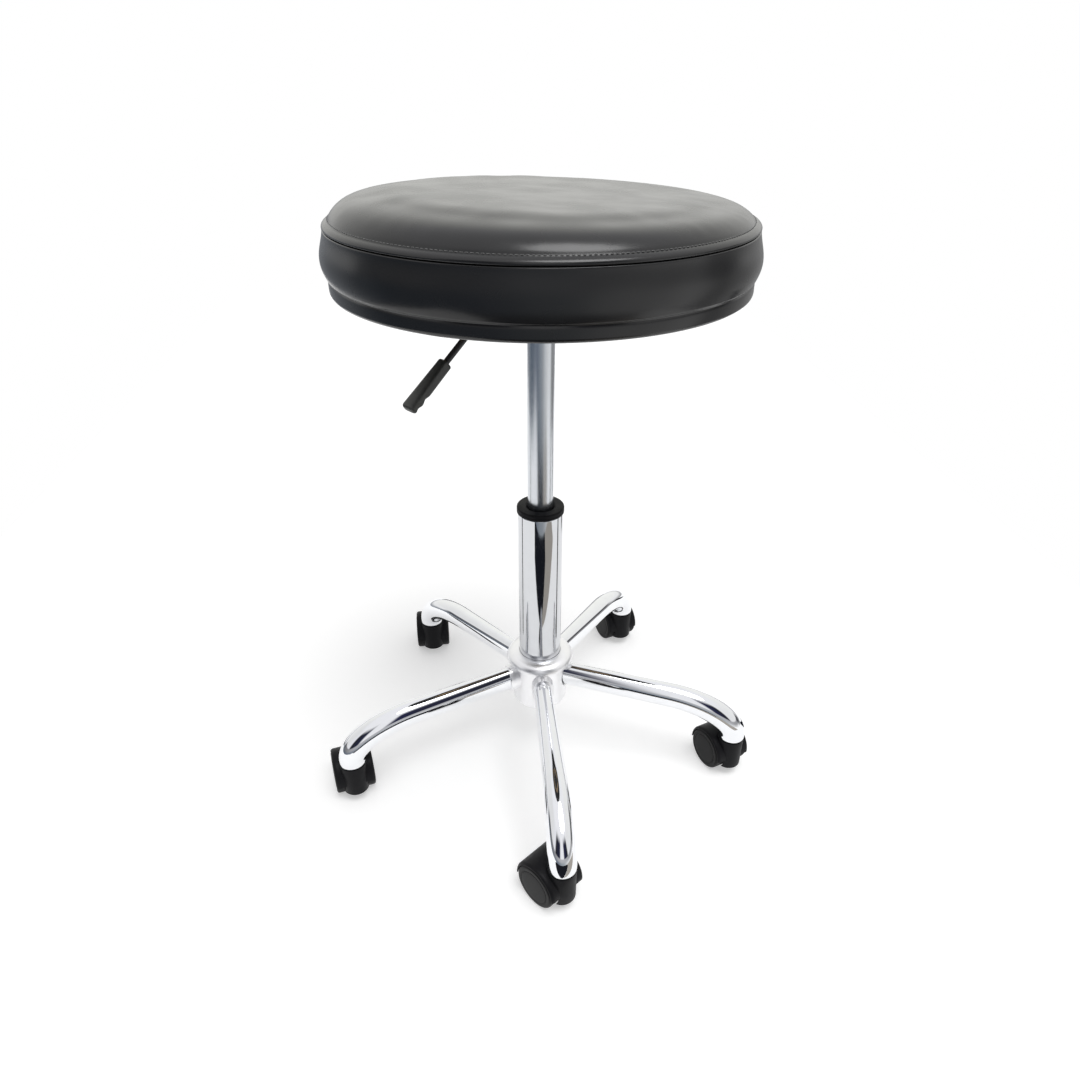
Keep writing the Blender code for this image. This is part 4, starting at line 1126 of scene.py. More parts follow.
    def crown_waves(self, point: Vector, free: float) -> float:
        """Give the crown's slow waves and its puckers along the hem at a point.

        Args:
            point: The point on the crown.
            free: How free the cover is there, from 0 at the seam to 1.

        Returns:
            How far the point is raised.
        """
        reach = math.hypot(point.x, point.y)
        fine = self.fine_wave_length * self.wave_length
        wave = noise.noise(point / self.wave_length)
        wave += self.fine_wave_share * noise.noise(point / fine)
        turn = math.atan2(point.y, point.x)
        ripple = noise.noise(Vector((math.cos(turn), math.sin(turn), 0.4)) * self.pucker_count)
        peak = self.free_edge - self.pucker_peak
        at_hem = eased(reach, self.free_edge - self.pucker_start, peak)
        at_hem *= 1.0 - eased(reach, peak, self.free_edge + self.pucker_end)
        return self.wave_height * wave * free + self.pucker_height * ripple * at_hem

    def band_move(self, point: Vector) -> Vector:
        """Give the band's move at a point: a slow wave, and less bulge in front and behind."""
        reach = math.hypot(point.x, point.y)
        free = math.sin(math.pi * (self.seam - point.z) / (self.seam - self.board_top))
        wave = noise.noise(point / (self.band_wave_length * self.wave_length))
        outward = Vector((point.x, point.y, 0.0)).normalized()
        drawn = self.band_draw * (reach - self.radius) * (point.y / reach) ** 2
        return outward * (self.band_wave_height * wave * free - drawn)

    def cover_mesh(self) -> Mesh:
        """Make the cover: the sewn outline, swelled, unevenly filled and slightly waved."""
        outline = self.crown_outline() + self.seam_outline() + self.foot_outline()
        mesh = turned("seat_cushion", outline, self.sides, closed=False)
        move_at = self.swelling()
        filled = Vector((math.cos(self.lean_heading), math.sin(self.lean_heading), 0.0))
        for vertex in mesh.vertices:
            point = vertex.co.copy()
            reach = math.hypot(point.x, point.y)
            share = min(1.0, reach / self.hem_radius)
            if point.z > self.hem - NEAR and reach < self.hem_radius:
                free = 1.0 - eased(reach, self.free_edge - self.slack_width, self.free_edge)
                fuller = (1.0 - share**self.lean_edge) ** self.lean_fullness
                vertex.co += move_at(point) * free
                vertex.co.z += self.lean * point.dot(filled) / self.radius * fuller
                vertex.co.z += self.crown_waves(point, free)
            elif reach > self.radius + ON_AXIS and self.board_top < point.z < self.seam:
                vertex.co += self.band_move(point)
        mesh.update()
        return mesh

    def stitch(self, middle: Vector, along: Vector, normal: Vector) -> list[Ring]:
        """Give the rings of one stitch, a short bowed thread that dives in at both ends.

        Args:
            middle: The stitch's place on the cover.
            along: The direction of the sewing.
            normal: The cover's outward direction.

        Returns:
            Five rings from end to end.
        """
        across = along.cross(normal)
        rings = []
        for at, rise, width in STITCH_BOW:
            place = middle + along * at * self.stitch_length / 2
            place += normal * rise * self.thread_radius
            size = self.thread_radius * width
            rings.append(round_ring(place, across, normal, size, self.thread_sides))
        return rings

    def stitching_mesh(self, cover: Mesh) -> Mesh:
        """Make the row of top stitches along the hem.

        Args:
            cover: The finished cover that the stitches lie on.

        Returns:
            One mesh of separate stitches.
        """
        points = [vertex.co for vertex in cover.vertices]
        surface = BVHTree.FromPolygons(points, [list(face.vertices) for face in cover.polygons])
        shape = bmesh.new()
        reach = self.radius - self.stitch_inset
        over = self.hem + 10 * PAST
        for turn in turns(self.stitch_count):
            above = Vector((reach * math.cos(turn), reach * math.sin(turn), over))
            middle, normal, _, _ = surface.ray_cast(above, -UP)
            along = Vector((-math.sin(turn), math.cos(turn), 0.0))
            skin(shape, self.stitch(middle, along, normal.normalized()))
        return closed_mesh(shape, "top_stitching")

    def staple(self, middle: Vector, along: Vector) -> list[Ring]:
        """Give the rings of one staple, a crown of wire with both legs in the board.

        Args:
            middle: The place under the cover's return that it is driven in at.
            along: The direction of its crown.

        Returns:
            Six square rings from leg to leg.
        """
        half = self.staple_width / 2
        inner = half - self.staple_bend
        size = self.staple_wire / 2
        across = along.cross(UP)
        right = [(inner, 0.0), (half, self.staple_nick), (half, self.staple_leg)]
        rings = []
        for at, rise in [(-at, rise) for at, rise in reversed(right)] + right:
            height = self.bottom - self.staple_wire * self.staple_proud + rise
            place = middle + along * at + UP * height
            lift = UP if abs(at) < half else along * (-1.0 if at > 0 else 1.0)
            rings.append([place + across * a * size + lift * b * size for a, b in OBLONG])
        return rings

    def staples_mesh(self) -> Mesh:
        """Make the ring of staples that hold the cover's return to the board."""
        shape = bmesh.new()
        reach = self.radius - self.tack_inset - self.return_width / 2
        for number in range(self.staple_count):
            turn = math.tau * (number + 0.5) / self.staple_count
            skew = turn + self.staple_skew * noise.noise(Vector((number * 1.7, 0.3, 0.1)))
            out = Vector((math.cos(turn), math.sin(turn), 0.0))
            skin(shape, self.staple(out * reach, Vector((-math.sin(skew), math.cos(skew), 0.0))))
        return closed_mesh(shape, "cover_staples")

    def lining_mesh(self) -> Mesh:
        """Make the ring of lining cloth under the board, slack between its edges."""
        low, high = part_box("dust_cover")
        outer = (high.x - low.x) / 2
        inner = self.lining_inner
        outline = []
        for reach, turn in zip(spread(inner, outer, 24), spread(0.0, math.pi, 24)):
            sag = self.lining_sag * math.sin(turn)
            outline.append(Vector((reach, low.z + self.lining_sag - sag)))
        outline += [Vector((outer, high.z)), Vector((inner, high.z))]
        mesh = turned("dust_lining", outline, self.lining_sides)
        for vertex in mesh.vertices:
            reach = math.hypot(vertex.co.x, vertex.co.y)
            if vertex.co.z < high.z - FIT and inner + NEAR < reach < outer - NEAR:
                ripple = noise.noise(vertex.co / self.lining_ripple_length)
                vertex.co.z += self.lining_ripple * ripple
        mesh.update()
        return mesh

    def build(self) -> None:
        """Make and dress the cushion and what is under it."""
        place = self.stool.column()
        seat = Body.SEAT.value
        cover = self.cover_mesh()
        cushion = add_piece(
            "seat_cushion", cover, SEAT_VINYL, seat, place,
            "seat_foam", "seat_top_panel", "seat_side_band",
        )
        add_piece("seat_top_stitching", self.stitching_mesh(cover), SEAM_THREAD, seat, place)
        add_piece("seat_cover_staples", self.staples_mesh(), ZINC_STEEL, seat, place)
        add_piece("seat_dust_lining", self.lining_mesh(), LINING_CLOTH, seat, place, "dust_cover")
        refinish(BIRCH_PLY, "seat_board")


@dataclass
class SeatMechanism:
    """The plate under the seat, the channel with the lift's socket, and the height lever."""

    stool: StoolFrame
    plate_side: float = 152.0 * MM
    plate_corner: float = 12.0 * MM
    screw_spacing: float = 120.0 * MM
    screw_hole: float = 3.1 * MM
    screw_radius: float = 2.8 * MM
    screw_head_radius: float = 5.5 * MM
    screw_head_height: float = 3.4 * MM
    screw_head_flat: float = 0.55
    screw_dome: float = 4.0 * MM
    screw_edge: float = 1.6 * MM
    screw_point: float = 0.8 * MM
    recess_length: float = 5.4 * MM
    recess_width: float = 1.1 * MM
    recess_depth: float = 1.7 * MM
    recess_turn: float = 0.4
    housing_inner: float = 46.0 * MM
    housing_wall: float = 3.0 * MM
    housing_depth: float = 36.0 * MM
    housing_bend: float = 6.0 * MM
    housing_back: float = 45.0 * MM
    housing_front: float = 55.0 * MM
    socket_wall: float = 3.7 * MM
    socket_length: float = 27.5 * MM
    socket_bore: float = 14.3 * MM
    socket_taper: float = 1.0 * MM
    socket_round: float = 0.9 * MM
    weld_bead: float = 2.2 * MM
    weld_drop: float = 2.0 * MM
    weld_edge: float = 0.2 * MM
    pivot_offset: float = 30.0 * MM
    pin_radius: float = 3.0 * MM
    pin_head_radius: float = 4.6 * MM
    pin_head_height: float = 2.0 * MM
    pin_flat: float = 0.6
    pin_dome: float = 2.0 * MM
    pin_edge: float = 0.8 * MM
    rod_radius: float = 3.0 * MM
    rod_toe: float = 6.0 * MM
    rod_round: float = 0.9 * MM
    rod_sides: int = 24
    bend_at: float = 67.5 * MM
    bend_radius: float = 14.0 * MM
    drop: float = math.radians(36.4)
    bare_length: float = 64.0 * MM
    sleeve_wall: float = 2.7 * MM
    sleeve_length: float = 22.0 * MM
    sleeve_round: float = 0.7 * MM
    grip_length: float = 55.0 * MM
    grip_bite: float = 34.0 * MM
    grip_root_width: float = 10.5 * MM
    grip_tip_width: float = 16.0 * MM
    grip_root_thickness: float = 11.0 * MM
    grip_tip_thickness: float = 9.0 * MM
    grip_round: float = 3.2 * MM
    grip_root_share: float = 0.6
    grip_squareness: float = 0.45
    scallops: int = 2
    scallop_depth: float = 1.6 * MM
    scallop_length: float = 22.0 * MM
    scallop_blend: float = 1.5
    grip_sides: int = 48

    def plate_mesh(self) -> Mesh:
        """Make the pressed plate with its round corners and four screw holes."""
        low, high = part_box("mount_plate")
        half = self.plate_side / 2
        outline = rounded([
            Corner(x * half, y * half, self.plate_corner, 8) for x, y in OBLONG[1:] + OBLONG[:1]
        ])
        plate = extruded("plate", outline, low.z, high.z)
        for spot in self.screw_spots():
            drill = peg("drill", self.screw_hole, low.z - PAST, high.z + PAST, SMALL_ROUND)
            plate = combined(plate, moved(drill, Matrix.Translation(spot)), Cut.TAKE)
        return plate

    def screw_spots(self) -> list[Vector]:
        """List the four screws' places round the column's axis."""
        half = self.screw_spacing / 2
        return [Vector((x * half, y * half, 0.0)) for x, y in OBLONG[2:] + OBLONG[:2]]

    def screw_mesh(self) -> Mesh:
        """Make one pan-head screw with a cross recess, its head under the plate."""
        low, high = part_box("plate_screw_1")
        seat = low.z + self.screw_head_height
        edge = low.z + self.screw_head_height * self.screw_head_flat
        corners = [
            Corner(0.0, low.z),
            Corner(self.screw_head_radius * self.screw_head_flat, low.z, self.screw_dome),
            Corner(self.screw_head_radius, edge, self.screw_edge),
            Corner(self.screw_head_radius, seat),
            Corner(self.screw_radius, seat),
            Corner(self.screw_radius, high.z, self.screw_point),
            Corner(0.0, high.z),
        ]
        head = rounded(corners, closed=False)
        screw = turned("plate_screw", head, SMALL_ROUND, closed=False)
        half_length = self.recess_length / 2
        half_width = self.recess_width / 2
        outline = [Vector((x * half_length, y * half_width)) for x, y in OBLONG]
        for turn in (0.0, QUARTER):
            slot = extruded("recess", outline, low.z - PAST, low.z + self.recess_depth)
            aslant = Matrix.Rotation(turn + self.recess_turn, 4, "Z")
            screw = combined(screw, moved(slot, aslant), Cut.TAKE)
        return screw

    def channel_mesh(self, low: float, top: float) -> Mesh:
        """Make the bent channel between two heights, open at the top and at both ends."""
        inner = self.housing_inner / 2
        outer = inner + self.housing_wall
        inner_bend = self.housing_bend - self.housing_wall
        corners = [
            Corner(-outer, top),
            Corner(-outer, low, self.housing_bend, 8),
            Corner(outer, low, self.housing_bend, 8),
            Corner(outer, top),
            Corner(inner, top),
            Corner(inner, low + self.housing_wall, inner_bend, 8),
            Corner(-inner, low + self.housing_wall, inner_bend, 8),
            Corner(-inner, top),
        ]
        section = rounded(corners)
        ends = (-self.housing_back, self.housing_front)
        return lofted("lever_housing", [[Vector((x, y, z)) for y, z in section] for x in ends])

    def housing_mesh(self) -> Mesh:
        """Make the channel with the tapered socket, welded in, and the pin's holes."""
        box_low, box_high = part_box("lever_housing")
        foot = box_low.z
        low = box_high.z - self.housing_depth
        head = foot + self.socket_length
        boss_radius = self.socket_bore + self.socket_wall
        bead_radius = boss_radius + self.weld_bead
        weld = low + self.housing_wall / 2
        boss = rounded([
            Corner(0.0, foot),
            Corner(boss_radius, foot, self.socket_round),
            Corner(boss_radius, low - self.weld_drop),
            Corner(bead_radius, low + self.weld_edge),
            Corner(bead_radius, weld),
            Corner(boss_radius, weld),
            Corner(boss_radius, head, self.socket_round),
            Corner(0.0, head),
        ], closed=False)
        housing = self.channel_mesh(low, box_high.z)
        housing = combined(housing, turned("boss", boss, LARGE_ROUND, closed=False), Cut.ADD)
        slope = self.socket_taper / (self.socket_length + NEAR)
        over = 2 * PAST
        bore = [
            Vector((0.0, foot - over)),
            Vector((self.socket_bore + slope * over, foot - over)),
            Vector((self.socket_bore - slope * (self.socket_length + over), head + over)),
            Vector((0.0, head + over)),
        ]
        housing = combined(housing, turned("bore", bore, LARGE_ROUND, closed=False), Cut.TAKE)
        reach = self.housing_inner + 2 * self.housing_wall
        pin_hole = along_y(peg("pin_hole", self.pin_radius + FIT, -reach, reach, SMALL_ROUND))
        pivot_height = self.stool.lever().translation.z
        pin_hole = moved(pin_hole, Matrix.Translation((self.pivot_offset, 0.0, pivot_height)))
        return combined(housing, pin_hole, Cut.TAKE)

    def pin_mesh(self) -> Mesh:
        """Make the riveted pivot pin with its domed heads."""
        cheek = self.housing_inner / 2 + self.housing_wall + FIT
        end = cheek + self.pin_head_height
        head = [
            Corner(0.0, end),
            Corner(self.pin_head_radius * self.pin_flat, end, self.pin_dome),
            Corner(self.pin_head_radius, end - self.pin_head_height * self.pin_flat, self.pin_edge),
            Corner(self.pin_head_radius, cheek),
            Corner(self.pin_radius, cheek),
        ]
        upper = rounded(head, closed=False)
        lower = [Vector((across, -up)) for across, up in reversed(upper)]
        return along_y(turned("pivot_pin", upper + lower, SMALL_ROUND, closed=False))

    def droop(self, distance: float) -> Vector:
        """Give a place on the lever's drooping run, at a distance from its bend."""
        bend = self.bend_at - self.pivot_offset
        return Vector((bend + distance * math.cos(self.drop), 0.0, -distance * math.sin(self.drop)))

    def rod_mesh(self) -> Mesh:
        """Make the bent lever rod with the sleeve that turns on the pin."""
        sides = self.rod_sides
        toe = -self.pivot_offset - self.rod_toe
        bend = self.bend_at - self.pivot_offset - self.bend_radius * math.tan(self.drop / 2)
        round_in = self.rod_round
        rings = [
            tube_ring(Vector((toe, 0.0, 0.0)), 0.0, self.rod_radius - round_in, sides),
            tube_ring(Vector((toe + round_in, 0.0, 0.0)), 0.0, self.rod_radius, sides),
        ]
        for angle in spread(0.0, self.drop, 14):
            x = bend + self.bend_radius * math.sin(angle)
            z = -self.bend_radius * (1 - math.cos(angle))
            rings.append(tube_ring(Vector((x, 0.0, z)), -angle, self.rod_radius, sides))
        end = self.droop(self.bare_length + self.grip_bite)
        rings.append(tube_ring(end, -self.drop, self.rod_radius, sides))
        rod = lofted("lever_rod", rings)
        half = self.sleeve_length / 2
        bore = self.pin_radius + FIT
        sleeve = rounded([
            Corner(0.0, -half),
            Corner(bore + self.sleeve_wall, -half, self.sleeve_round),
            Corner(bore + self.sleeve_wall, half, self.sleeve_round),
            Corner(0.0, half),
        ], closed=False)
        rod = combined(rod, along_y(turned("sleeve", sleeve, MIDDLE_ROUND, closed=False)), Cut.ADD)
        hole = along_y(peg("bore", bore, -2 * half, 2 * half, MIDDLE_ROUND))
        return combined(rod, hole, Cut.TAKE)

    def grip_ring(self, distance: float, inset: float) -> Ring:
        """Give one section of the grip.

        Args:
            distance: How far it is from the grip's root.
            inset: How far the section is drawn in to round the grip's ends.

        Returns:
            The section's points, a rounded oblong with scallops on its underside.
        """
        share = distance / self.grip_length
        half_width = between(self.grip_root_width, self.grip_tip_width, share) / 2 - inset
        half_height = between(self.grip_root_thickness, self.grip_tip_thickness, share) / 2 - inset
        from_tip = self.grip_length - distance
        scallop = 0.0
        if from_tip < self.scallop_length:
            wave = math.sin(math.pi * self.scallops * from_tip / self.scallop_length)
            scallop = self.scallop_depth * wave * wave
        middle = self.droop(self.bare_length + distance)
        lift = Vector((math.sin(self.drop), 0.0, math.cos(self.drop)))
        ring = []
        for angle in turns(self.grip_sides):
            across = half_width * squared(math.cos(angle), self.grip_squareness)
            rise = half_height * squared(math.sin(angle), self.grip_squareness)
            if rise < 0.0:
                rise += scallop * min(1.0, -rise / half_height * self.scallop_blend)
            ring.append(middle + Vector((0.0, across, 0.0)) + lift * rise)
        return ring

    def grip_mesh(self) -> Mesh:
        """Make the plastic paddle on the lever, with rounded ends and scallops underneath."""
        root = self.grip_root_share * self.grip_round
        tip = self.grip_round
        stations = [
            (root * (1 - math.cos(t)), root * (1 - math.sin(t))) for t in spread(0.0, QUARTER, 6)
        ]
        stations += [(at, 0.0) for at in spread(root, self.grip_length - tip, 44)[1:-1]]
        stations += [
            (self.grip_length - tip * (1 - math.sin(t)), tip * (1 - math.cos(t)))
            for t in spread(0.0, QUARTER, 7)
        ]
        grip = lofted("lever_grip", [self.grip_ring(at, inset) for at, inset in stations])
        bore_radius = self.rod_radius + FIT
        bore = [
            tube_ring(self.droop(self.bare_length + at), -self.drop, bore_radius, self.rod_sides)
            for at in (-self.grip_bite, self.grip_bite + FIT)
        ]
        return combined(grip, lofted("grip_bore", bore), Cut.TAKE)

    def build(self) -> None:
        """Make and dress the plate, its screws, the channel and the lever."""
        seat = Body.SEAT.value
        lever = Body.LEVER.value
        upright = self.stool.mechanism()
        pivot = self.stool.lever()
        plate = self.plate_mesh()
        add_piece("seat_plate", plate, BLACK_COAT, seat, self.plate_place(), "mount_plate")
        screw = self.screw_mesh()
        for name in sorted(name for name in frame["nodes"] if name.startswith("plate_screw_")):
            low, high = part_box(name)
            middle = (low + high) / 2
            place = Matrix.Translation((middle.x, middle.y, 0.0))
            add_piece(f"pan_screw_{name[-1]}", screw, ZINC_STEEL, seat, place, name)
        housing = self.housing_mesh()
        add_piece("lift_socket_channel", housing, BLACK_COAT, seat, upright, "lever_housing")
        add_piece("lever_pin", self.pin_mesh(), ZINC_STEEL, seat, pivot, "lever_pivot_pin")
        add_piece("height_lever_rod", self.rod_mesh(), BLACK_COAT, lever, pivot, "lever_rod")
        add_piece("height_lever_grip", self.grip_mesh(), GRIP_MOULDING_PAINTED_LIGHT, lever, pivot, "lever_grip")
        refinish(ZINC_STEEL, "release_pin")

    def plate_place(self) -> Matrix:
        """Give the plate's place, turned to line up with its screws."""
        low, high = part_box("plate_screw_1")
        out = (low + high) / 2 - self.stool.column().translation
        turn = math.atan2(out.y, out.x) - math.pi / 4
        return self.stool.column() @ Matrix.Rotation(turn, 4, "Z")


@dataclass
class GasLift:
    """The stand tube, its plastic guide, and the sliding pressure tube."""

    stool: StoolFrame
    sides: int = 96
    column_radius: float = 25.0 * MM
    column_foot_radius: float = 23.6 * MM
    column_wall: float = 2.2 * MM
    column_floor: float = 3.0 * MM
    column_foot_round: float = 1.0 * MM
    column_bend: float = 30.0 * MM
    column_rim_round: float = 0.8 * MM
    rod_hole: float = 5.3 * MM
    flange_radius: float = 26.2 * MM
    flange_round: float = 1.6 * MM
    flange_groove: float = 0.5 * MM
    groove_drop: float = 0.8 * MM
    fine_round: float = 0.5 * MM
    bore_flare: float = 1.0 * MM
    bore_round: float = 1.4 * MM
    tube_radius: float = 14.0 * MM
    tube_wall: float = 2.0 * MM
    tube_taper: float = 1.0 * MM
    tube_foot_round: float = 1.5 * MM
    tube_head_round: float = 0.8 * MM
    gland: float = 12.0 * MM
    cap: float = 18.0 * MM
    pin_hole: float = 3.3 * MM

    def column_mesh(self) -> Mesh:
        """Make the stand tube with its tapered foot and rounded rim."""
        low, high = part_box("column")
        hub_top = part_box("hub")[1].z
        inner = self.column_radius - self.column_wall
        floor_top = low.z + self.column_floor
        floor_radius = self.column_foot_radius - self.column_wall
        corners = [
            Corner(self.rod_hole, low.z),
            Corner(self.column_foot_radius, low.z, self.column_foot_round),
            Corner(self.column_radius, hub_top, self.column_bend),
            Corner(self.column_radius, high.z, self.column_rim_round),
            Corner(inner, high.z, self.fine_round),
            Corner(inner, hub_top),
            Corner(floor_radius, floor_top),
            Corner(self.rod_hole, floor_top),
        ]
        return turned("column_tube", rounded(corners), self.sides)

    def guide_mesh(self) -> Mesh:
        """Make the plastic guide with its rounded flange and a fine groove round it."""
        low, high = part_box("guide_bush")
        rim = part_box("column")[1].z + FIT
        bore = self.tube_radius + FIT
        sleeve = self.column_radius - self.column_wall - FIT
        middle = (rim + high.z) / 2 - self.groove_drop
        corners = [
            Corner(bore, low.z),
            Corner(sleeve, low.z),
            Corner(sleeve, rim),
            Corner(self.flange_radius, rim, self.fine_round),
            Corner(self.flange_radius, middle - self.flange_groove),
            Corner(self.flange_radius - self.flange_groove, middle),
            Corner(self.flange_radius, middle + self.flange_groove),
            Corner(self.flange_radius, high.z, self.flange_round),
            Corner(bore + self.bore_round + self.bore_flare, high.z, self.fine_round),
            Corner(bore, high.z - self.bore_round - self.bore_flare, self.fine_round),
        ]
        return turned("guide", rounded(corners), self.sides)

    def tube_mesh(self) -> Mesh:
        """Make the pressure tube with its gland and its tapered head."""
        low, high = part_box("gas_cylinder")
        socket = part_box("lever_housing")[0].z
        inner = self.tube_radius - self.tube_wall
        corners = [
            Corner(self.rod_hole, low.z),
            Corner(self.tube_radius, low.z, self.tube_foot_round),
            Corner(self.tube_radius, socket),
            Corner(self.tube_radius - self.tube_taper, high.z, self.tube_head_round),
            Corner(self.pin_hole, high.z),
            Corner(self.pin_hole, high.z - self.cap),
            Corner(inner - self.tube_taper, high.z - self.cap),
            Corner(inner, socket),
            Corner(inner, low.z + self.gland),
            Corner(self.rod_hole, low.z + self.gland),
        ]
        return turned("pressure_tube", rounded(corners), self.sides)

    def build(self) -> None:
        """Make and dress the lift."""
        place = self.stool.column()
        base = Body.BASE.value
        add_piece("lift_column", self.column_mesh(), COLUMN_CHROME, base, place, "column")
        add_piece("lift_guide", self.guide_mesh(), BLACK_MOULDING, base, place, "guide_bush")
        tube = self.tube_mesh()
        seat = Body.SEAT.value
        add_piece("lift_pressure_tube", tube, TUBE_SATIN, seat, place, "gas_cylinder")
        refinish(ZINC_STEEL, "thrust_washer_lower", "thrust_bearing", "piston_rod", "rod_clip")
        refinish(BLACK_MOULDING, "piston")
        refinish(BUFFER_RUBBER, "buffer")


@dataclass
class Base:
    """The chromed hub and its five oval legs with their plastic stem sockets."""

    stool: StoolFrame
    hub_radius: float = 33.0 * MM
    hub_overhang: float = 7.5 * MM
    hub_foot_round: float = 2.4 * MM
    hub_neck_round: float = 3.0 * MM
    hub_rim_round: float = 1.6 * MM
    hub_flare: float = 5.0 * MM
    hub_dome: float = 11.0 * MM
    hub_sides: int = 120
    past_rim: float = 2.0 * MM
    mouth_land: float = 1.2 * MM
    pocket_depth: float = 5.0 * MM
    pocket_gap: float = 2.5 * MM
    column_radius: float = 25.0 * MM
    column_foot: float = 23.6 * MM
    column_taper: float = 1.4 * MM
    reach: float = 241.0 * MM
    slope: float = math.radians(4.6)
    bend_length: float = 80.0 * MM
    bend_drop: float = 39.15 * MM
    tip_straight: float = 3.2 * MM
    root_width: float = 21.0 * MM
    root_height: float = 30.0 * MM
    tip_diameter: float = 31.0 * MM
    wall: float = 1.5 * MM
    leg_sides: int = 56
    stem_hole: float = 5.8 * MM
    socket_wall: float = 2.2 * MM
    socket_plug: float = 3.0 * MM
    socket_round: float = 0.6 * MM
    socket_sides: int = 48

    def __post_init__(self) -> None:
        """Work out the leg's ends from the frame."""
        self.rim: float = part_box("leg_1")[0].z
        self.bend_x: float = self.reach - self.bend_length
        self.root_x: float = self.hub_radius - self.pocket_depth + FIT

    def straight_at(self, reach: float) -> float:
        """Give the height of the leg's straight run, drawn on to the tip."""
        tip = self.rim + self.tip_straight + self.bend_drop
        return tip + (self.reach - reach) * math.tan(self.slope)

    def leg_ring(self, place: Vector, pitch: float, inset: float) -> Ring:
        """Give one oval section of a leg.

        Args:
            place: The section's middle.
            pitch: The leg's rise there.
            inset: How far it lies inside the leg's outer face.

        Returns:
            The section's points.
        """
        share = (place.x - self.root_x) / (self.reach - self.root_x)
        half_width = between(self.root_width, self.tip_diameter, share) / 2 - inset
        half_height = between(self.root_height, self.tip_diameter, share) / 2 - inset
        lift = Vector((-math.sin(pitch), 0.0, math.cos(pitch)))
        ring = []
        for angle in turns(self.leg_sides):
            across = Vector((0.0, half_width * math.cos(angle), 0.0))
            ring.append(place + across + lift * half_height * math.sin(angle))
        return ring

    def leg_path(self) -> list[tuple[Vector, float]]:
        """List a leg's sections as (middle, pitch) from the root to the rim's round."""
        path = [(Vector((self.root_x, 0.0, self.straight_at(self.root_x))), 0.0)]
        for x in spread(self.root_x, self.bend_x, 24)[1:]:
            path.append((Vector((x, 0.0, self.straight_at(x))), -self.slope))
        for turn in spread(0.0, QUARTER, 40)[1:]:
            x = self.bend_x + self.bend_length * math.sin(turn)
            z = self.straight_at(x) - self.bend_drop * (1.0 - math.cos(turn))
            along = self.bend_length * math.cos(turn)
            down = self.bend_drop * math.sin(turn) + along * math.tan(self.slope)
            path.append((Vector((x, 0.0, z)), -math.atan2(down, along)))
        path.append((Vector((self.reach, 0.0, self.rim + self.wall / 2)), -QUARTER))
        return path

    def leg_mesh(self) -> Mesh:
        """Make one leg along +X: an oval tube that bends down, with a round rim at its tip."""
        path = self.leg_path()
        outer = [self.leg_ring(*station, 0.0) for station in path]
        rim = []
        half = self.wall / 2
        for angle in spread(0.0, math.pi, 8)[1:-1]:
            place = Vector((self.reach, 0.0, self.rim + half - half * math.sin(angle)))
            rim.append(self.leg_ring(place, -QUARTER, half - half * math.cos(angle)))
        inner = [self.leg_ring(*station, self.wall) for station in reversed(path)]
        return lofted("leg", outer + rim + inner, cyclic=True)

    def hub_mesh(self) -> Mesh:
        """Make the hub: a sleeve with a domed collar and a pocket for each leg."""
        low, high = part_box("hub")
        column_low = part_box("column")[0].z
        collar = self.hub_radius + self.hub_overhang
        mouth = self.column_radius + FIT + self.mouth_land
        dome = high.z - self.hub_dome
        narrower = self.column_taper * (column_low - low.z) / (high.z - column_low)
        foot = (self.hub_radius - self.hub_foot_round, low.z + self.hub_foot_round)
        outline = [Vector((self.column_foot + FIT - narrower, low.z))]
        outline += arc(foot, self.hub_foot_round, -QUARTER, 0.0, 8)
        outline += rounded([
            Corner(self.hub_radius, low.z + self.hub_foot_round),
            Corner(self.hub_radius, dome - self.hub_flare, self.hub_neck_round, 8),
            Corner(collar, dome, self.hub_rim_round, 8),
            Corner(collar, dome + self.past_rim),
        ], closed=False)[1:-1]
        for angle in spread(0.0, QUARTER, 24):
            reach = mouth + (collar - mouth) * math.cos(angle)
            outline.append(Vector((reach, dome + self.hub_dome * math.sin(angle))))
        outline.append(Vector((self.column_radius + FIT, high.z)))
        follows = outline[1:] + outline[:1]
        outline = [p for p, q in zip(outline, follows) if (p - q).length > SAME_PLACE]
        hub = turned("hub", outline, self.hub_sides)
        ends = (self.hub_radius - self.pocket_depth, collar + self.past_rim)
        for number in LEGS:
            rings = [
                self.leg_ring(Vector((x, 0.0, self.straight_at(x))), 0.0, -self.pocket_gap)
                for x in ends
            ]
            turn = self.stool.leg(number).to_3x3().to_4x4()
            hub = combined(hub, moved(lofted("pocket", rings), turn), Cut.TAKE)
        return hub

    def socket_mesh(self) -> Mesh:
        """Make the plastic plug in a leg's tip, with the sleeve for the caster's stem."""
        low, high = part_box("stem_socket_1")
        plug = self.tip_diameter / 2 - self.wall - FIT
        sleeve = self.stem_hole + self.socket_wall
        corners = [
            Corner(self.stem_hole, low.z),
            Corner(plug, low.z, self.socket_round),
            Corner(plug, low.z + self.socket_plug, self.socket_round),
            Corner(sleeve, low.z + self.socket_plug),
            Corner(sleeve, high.z, self.socket_round),
            Corner(self.stem_hole, high.z),
        ]
        return turned("stem_socket", rounded(corners), self.socket_sides)

    def build(self) -> None:
        """Make and dress the hub, the legs and their sockets."""
        base = Body.BASE.value
        add_piece("base_hub", self.hub_mesh(), HUB_CHROME_PAINTED_BRIGHT, base, self.stool.column(), "hub")
        leg = self.leg_mesh()
        socket = self.socket_mesh()
        for number in LEGS:
            place = self.stool.leg(number)
            add_piece(f"base_leg_{number}", leg, LEG_CHROME, base, place, f"leg_{number}")
            tip = place @ Matrix.Translation((self.reach, 0.0, 0.0))
            node = f"stem_socket_{number}"
            add_piece(f"leg_plug_{number}", socket, BLACK_MOULDING, base, tip, node)


